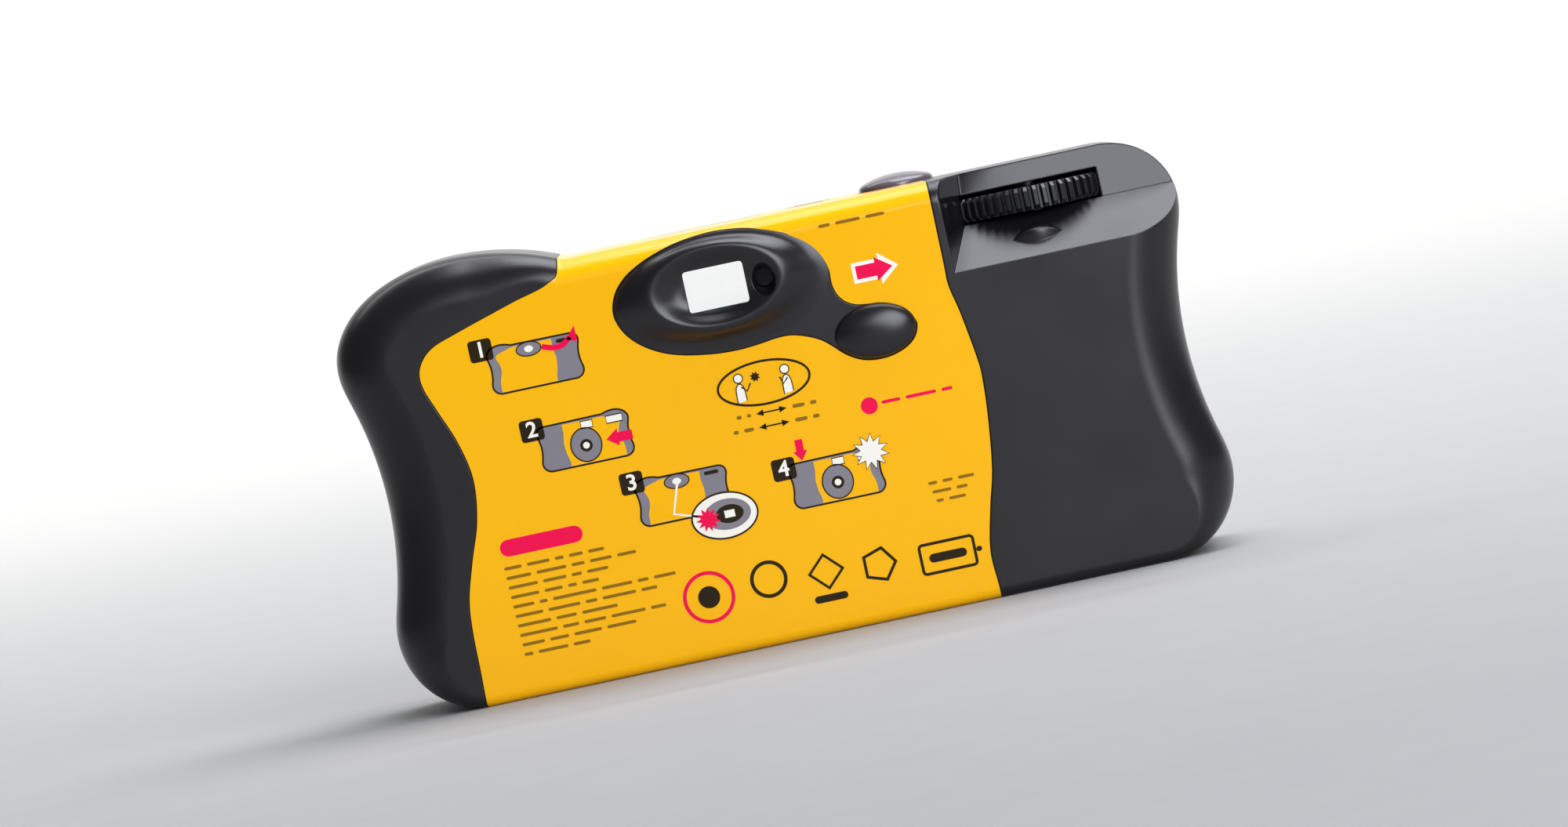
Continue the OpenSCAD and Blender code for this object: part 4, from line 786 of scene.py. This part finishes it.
def lay(shape, spots, layer, ink, way=1):
    """Lays a shape's points, to the right and up in mm as seen, on the back (1) or front (-1)."""
    ink_step = 0.012
    for vertex, (u, h) in zip(shape.data.vertices, spots):
        vertex.co = Vector((-way * u, way * (BACK + ink_step * layer), h)) * 0.001
    shape.data.update()
    if shape.data.polygons[0].normal.y * way < 0:
        shape.data.flip_normals()
    printed[ink].append(shape)


def flat(points, layer, ink, way=1):
    """A filled shape."""
    bpy.ops.object.select_all(action="DESELECT")
    bpy.ops.mesh.primitive_circle_add(vertices=len(points), fill_type="NGON")
    lay(bpy.context.object, points, layer, ink, way)


def stroke(points, width, layer, ink, closed=False):
    """A printed line."""
    points = [Vector(p) for p in points] + ([Vector(points[0])] if closed else [])
    last = len(points) - 1
    sides = ([], [])
    for i, p in enumerate(points):
        before = points[i - 1] if i else points[-2] if closed else p
        after = points[i + 1] if i < last else points[1] if closed else p
        along = (after - before).normalized() * width / 2
        sides[0].append((p.x - along.y, p.y + along.x))
        sides[1].append((p.x + along.y, p.y - along.x))
    bpy.ops.object.select_all(action="DESELECT")
    bpy.ops.mesh.primitive_grid_add(x_subdivisions=last, y_subdivisions=1)
    lay(bpy.context.object, sides[0] + sides[1], layer, ink)


def ellipse(u, h, a, b, n=48):
    return [(u + a * x, h + b * z) for x, z in circle(1, n)]


def bar(u0, u1, h, thick, layer, ink):
    """A bar with round ends."""
    r = thick / 2
    turns = [math.pi * (i / 8 - 0.5) for i in range(9)]
    end = [(u1 - r + r * math.cos(a), h + r * math.sin(a)) for a in turns]
    flat(end + [(u0 + u1 - u, 2 * h - z) for u, z in end], layer, ink)


def words(u, h, thick, lengths, ink="brown"):
    """A row of short bars, like words too small to read."""
    space = 0.75
    for length in lengths:
        bar(u, u + length, h, thick, 3, ink)
        u += length + space


def arrow(u, h, angle, size, layer, ink, e=0.0):
    """A fat arrow about its middle, grown by e and more at its tip."""
    along, across = math.cos(math.radians(angle)), math.sin(math.radians(angle))
    points = []
    for x, y in ((-0.5, -0.18), (0.04, -0.18), (0.04, -0.33), (0.5, 0), (0.04, 0.33), (0.04, 0.18),
                 (-0.5, 0.18)):
        more = 1.6 if x > 0.3 else 1
        x, y = x * size + math.copysign(e, x - 0.02) * more, y * size + (math.copysign(e, y) if y else 0)
        points.append((u + x * along - y * across, h + x * across + y * along))
    flat(points, layer, ink)


def small_camera(u, h, front):
    """A small drawing of this camera, from its back or its front."""
    s, way, mid_z = 0.108, 1 if front else -1, 29
    edge = [(u + way * x * s, h + (z - mid_z) * s) for x, z, _, _ in outline(0)[::4]]
    flat(edge, 1, "grey")
    face = [(x, min(max(z, 1.5), 55)) for x, z in wrap_outline(0)[::2]]
    flat([(u + way * x * s, h + (z - mid_z) * s) for x, z in face], 2, "yellow")
    stroke(edge, 0.24, 3, "dark", True)
    if front:
        lens_ring = ellipse(u, h - 0.5, 2.1, 2.3)
        flat(lens_ring, 3, "grey")
        stroke(lens_ring, 0.18, 4, "dark", True)
        flat(ellipse(u, h - 0.6, 0.85, 0.85), 4, "dark")
        flat(ellipse(u, h - 0.6, 0.45, 0.45), 5, "white")
        for middle, wide in ((u + 0.6, 0.8), (u + 4.4, 1.1)):
            left, right, low, high = middle - wide, middle + wide, h + 1.7, h + 2.7
            pane = [(left, low), (right, low), (right, high), (left, high)]
            flat(pane, 4, "white")
            stroke(pane, 0.16, 5, "dark", True)
    else:
        eyepiece = ellipse(u - 0.5, h + 2.1, 1.7, 0.95)
        flat(eyepiece, 3, "grey")
        stroke(eyepiece, 0.16, 4, "dark", True)
        flat(ellipse(u - 0.5, h + 2.1, 0.6, 0.45), 4, "white")
        bar(u + 3.3, u + 5.3, h + 2.3, 0.5, 4, "dark")


def number(text, u, h):
    """A white figure on a black rounded square."""
    flat(rounded(u, h, 1.1, 1.0, 28), 3, "dark")
    figure = figures(text, 3.0)
    spots = [(u + v.co.x * 1000, h + v.co.y * 1000) for v in figure.data.vertices]
    lay(figure, spots, 4, "white")


def burst(u, h, r, points, layer, ink):
    """A star of light with so many points."""
    star = []
    for i in range(2 * points):
        k, a = r if i % 2 else 0.58 * r, math.pi * i / points
        star.append((u + k * math.cos(a), h + k * math.sin(a)))
    flat(star, layer, ink)
    return star


# 1, wind the film
small_camera(-31.6, 44.3, False)
number("1", -38.5, 47.5)
stroke(smooth([(-30.3, 46.3), (-28.8, 45.85), (-27.4, 46.0), (-26.3, 46.9)]), 0.75, 6, "red")
flat([(-26.9, 46.5), (-25.5, 48.2), (-25.4, 46.1)], 6, "red")
# 2, press the flash button
small_camera(-27.2, 32.6, True)
number("2", -34, 35.5)
arrow(-22.6, 32.2, 180, 3.6, 6, "red")
# 3, wait for the ready light, shown larger in a balloon
small_camera(-15.8, 22.6, False)
number("3", -22.3, 25.7)
stroke([(-16.3, 24.4), (-17.6, 20.4), (-13.9, 19.2)], 0.32, 6, "white")
balloon = ellipse(-10.9, 18.8, 4.5, 3.1)
flat(balloon, 6, "white")
stroke(balloon, 0.24, 7, "dark", True)
flat(ellipse(-10.5, 18.9, 3.2, 2.1), 7, "grey")
flat(ellipse(-10.2, 18.9, 1.9, 1.25), 8, "dark")
flat([(-10.9, 18.4), (-9.5, 18.4), (-9.5, 19.4), (-10.9, 19.4)], 9, "white")
burst(-13.2, 18.7, 1.7, 11, 9, "red")
# 4, press the shutter button
small_camera(5.0, 20.6, True)
number("4", -1.8, 23.2)
arrow(0.9, 25.3, -90, 2.9, 6, "red")
stroke(burst(10.2, 23.1, 2.5, 11, 6, "white"), 0.16, 7, "dark", True)
# How far to stand: two figures in an oval, and two spans
stroke(ellipse(-2, 35.3, 6.3, 2.9, 72), 0.32, 3, "dark", True)
for u, arm in ((-5.3, 0.9), (1.1, -0.5)):
    head = ellipse(u, 36.5, 0.62, 0.62, 24)
    flat(head, 3, "white")
    stroke(head, 0.15, 4, "dark", True)
    figure = smooth([
        (u - 0.65, 33.2), (u - 0.55, 35.1), (u, 35.75), (u + 0.55, 35.1), (u + 0.65, 33.2),
    ])
    flat(figure, 3, "white")
    stroke(figure, 0.15, 4, "dark")
    stroke([(u + 0.2, 35.3), (u + arm, 34.6), (u + 1.7 * arm, 35.6)], 0.2, 5, "dark")
burst(-3.0, 36.3, 0.75, 8, 4, "dark")
for h, start in ((31.3, -6.6), (29.4, -7.4)):
    stroke([(-3.2, h), (-0.4, h)], 0.2, 3, "dark")
    flat([(-3.9, h), (-2.9, h + 0.45), (-2.9, h - 0.45)], 3, "dark")
    flat([(0.3, h), (-0.7, h + 0.45), (-0.7, h - 0.45)], 3, "dark")
    words(start, h, 0.5, (0.7, -4.6 - start - 1.45))
    words(1.1, h, 0.5, (1.7, 0.9))
# Plain bars and shapes
flat(ellipse(11.3, 29.2, 1.15, 1.15), 3, "red")
words(13.0, 29.3, 0.45, (2.6, 4.2, 1.5), "red")
bar(-41.6, -30.2, 20.6, 2.3, 3, "red")
for i, lengths in enumerate((
    (2.4, 3.1, 1.2, 1.9, 2.2), (3.4, 4.1, 1.8, 3.0, 2.6), (4.0, 3.2, 1.4, 2.9),
    (3.9, 2.5, 1.2, 2.3), (2.9, 1.1, 6.0, 4.2, 1.5, 3.0), (3.8, 4.4, 1.6, 4.6, 2.2),
    (4.6, 2.8, 4.9), (5.2, 2.2, 3.0, 4.7, 2.1), (3.1, 2.6, 3.8, 4.0), (1.2, 4.1, 2.3),
)):
    words(-41.6 + 0.03 * i, 17.9 - 1.32 * i, 0.42, lengths)
words(9.6, 54.3, 0.42, (1.6, 3.4, 2.6))
for i, lengths in enumerate(((1.2, 1.4, 2.2), (2.6, 1.5), (1.0, 2.3))):
    words(16.9 + 0.3 * i, 17.2 - 1.25 * i, 0.4, lengths)
stroke(ellipse(-15.3, 8.4, 3.3, 3.3, 64), 0.5, 3, "red", True)
flat(ellipse(-15.3, 8.4, 1.5, 1.5), 3, "dark")
for u, h, sides in ((-6.9, 9.1, 64), (0.9, 8.5, 4), (8.1, 7.9, 5)):
    stroke(ellipse(u, h, 2.3, 2.3, sides), 0.5, 3, "dark", True)
bar(-1.4, 3.2, 4.9, 1.0, 3, "dark")
stroke(rounded(17.5, 7.2, 3.2, 1.5, 28), 0.4, 3, "dark", True)
bar(21.4, 22.2, 7.2, 0.7, 3, "dark")
bar(14.9, 20.1, 7.2, 1.2, 3, "dark")
# Winding arrow beside the eyepiece, with its white keyline
arrow(15.8, 47.1, 0, 5.0, 3, "white", 0.5)
arrow(15.8, 47.1, 0, 5.0, 4, "red")

# Plain slanted stripes on the front
stripe_wide, stripe_slant, stripe_low, stripe_high = 3.6, 7.0, 3.2, 24.6
for u, ink in ((20.5, "red"), (26.0, "white"), (31.5, "grey")):
    flat([
        (u, stripe_low), (u + stripe_wide, stripe_low),
        (u + stripe_slant + stripe_wide, stripe_high), (u + stripe_slant, stripe_high),
    ], 3, ink, -1)

# Inks: flat screen-printed colours with the film's gloss over them
inks = {
    "dark": ("#211704", "#2d2008"), "brown": ("#8a6410", "#966d12"), "red": ("#ef0048", "#f7004e"),
    "white": ("#f4efe0", "#fbf8ee"), "grey": ("#7d7a80", "#8a878e"), "yellow": YELLOW_INK,
}
for ink, shapes in printed.items():
    sheet = joined(f"print_{ink}", shapes)
    sheet.data.materials.clear()
    sheet.data.materials.append(finish(
        f"{ink} ink under film", *inks[ink], 0.3, 0.8, 0.001, 0.02, coat=0.25, shine=0.1))
    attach(sheet, "camera_body")


# ---------------------------------------------------------------- Stage
# A pale sheet of card that sweeps up behind, three lamps, and the photo's own view: from the back, nearly
# level and rolled. Lengths are in metres here.
floor_rows, half_wide = 40, 3.0
bpy.ops.object.select_all(action="DESELECT")
bpy.ops.mesh.primitive_grid_add(x_subdivisions=2, y_subdivisions=floor_rows)
floor = bpy.context.object
floor.name = "floor"
for i, vertex in enumerate(floor.data.vertices):
    t = (i // 3) / floor_rows
    x = (i % 3 - 1) * half_wide
    if t < 0.4:
        y, z = 2.0 - 3.0 * t / 0.4, 0.0
    elif t < 0.8:
        a = (t - 0.4) / 0.4 * math.pi / 2
        y, z = -1.0 - 1.0 * math.sin(a), 1.0 - math.cos(a)
    else:
        y, z = -2.0, 1.0 + (t - 0.8) / 0.2 * 2.0
    vertex.co = (x, y, z)
bpy.ops.object.shade_smooth()
# Card: dull and even, so that only soft shadows show on it
paper = finish("matt white card", "#a6a6a5", "#adadab", 0.85, 2.0, 0.01)
floor.data.materials.append(paper)


def lamp(name, size, power, place, aim, up=(0, 0, 1), tint=(0.9, 0.92, 1.0)):
    """A soft rectangular lamp turned towards a point."""
    bpy.ops.object.light_add(type="AREA", location=place)
    light = bpy.context.object
    light.name = name
    light.data.shape = "RECTANGLE"
    light.data.size, light.data.size_y = size
    light.data.energy, light.data.color = power, tint
    back = (Vector(place) - Vector(aim)).normalized()
    side = Vector(up).cross(back).normalized()
    light.rotation_euler = Matrix((side, back.cross(side), back)).transposed().to_euler()


lamp("soft box above", (0.6, 0.5), 6.3, (-0.25, -0.07, 0.7), (-0.05, 0, 0.03), (0, 1, 0))
lamp("fill by the camera", (0.7, 0.8), 15.6, (-0.48, 1.15, 0.48), (0, 0, 0.03), (-0.695, 0, 0.719))
# This one lights the card behind, which is what shows in the finder
lamp("card behind", (2.4, 0.8), 60, (0, -0.9, 1.25), (0, -1.9, 0.3), tint=(1, 1, 1))

world = bpy.data.worlds.new("studio")
bpy.context.scene.world = world
world.use_nodes = True
sky = world.node_tree.nodes["Background"].inputs
sky["Color"].default_value = (0.9, 0.93, 1.0, 1)
sky["Strength"].default_value = 0.12

rise, roll = math.radians(2.5), math.radians(12.1)
film_wide, seen_wide = 36.0, 0.2119  # in mm, and in m at 1 m away
aim = Vector((0.0002, 0.016, 0.0306))
away = Vector((0, math.cos(rise), math.sin(rise)))
bpy.ops.object.camera_add(location=aim + away)
camera = bpy.context.object
camera.data.sensor_width, camera.data.lens = film_wide, film_wide / seen_wide
turn = (-away).to_track_quat("-Z", "Y").to_matrix().to_4x4()
turn.translation = aim + away
camera.matrix_world = turn @ Matrix.Rotation(-roll, 4, "Z")
bpy.context.scene.camera = camera
bpy.context.scene.view_settings.view_transform = "Standard"
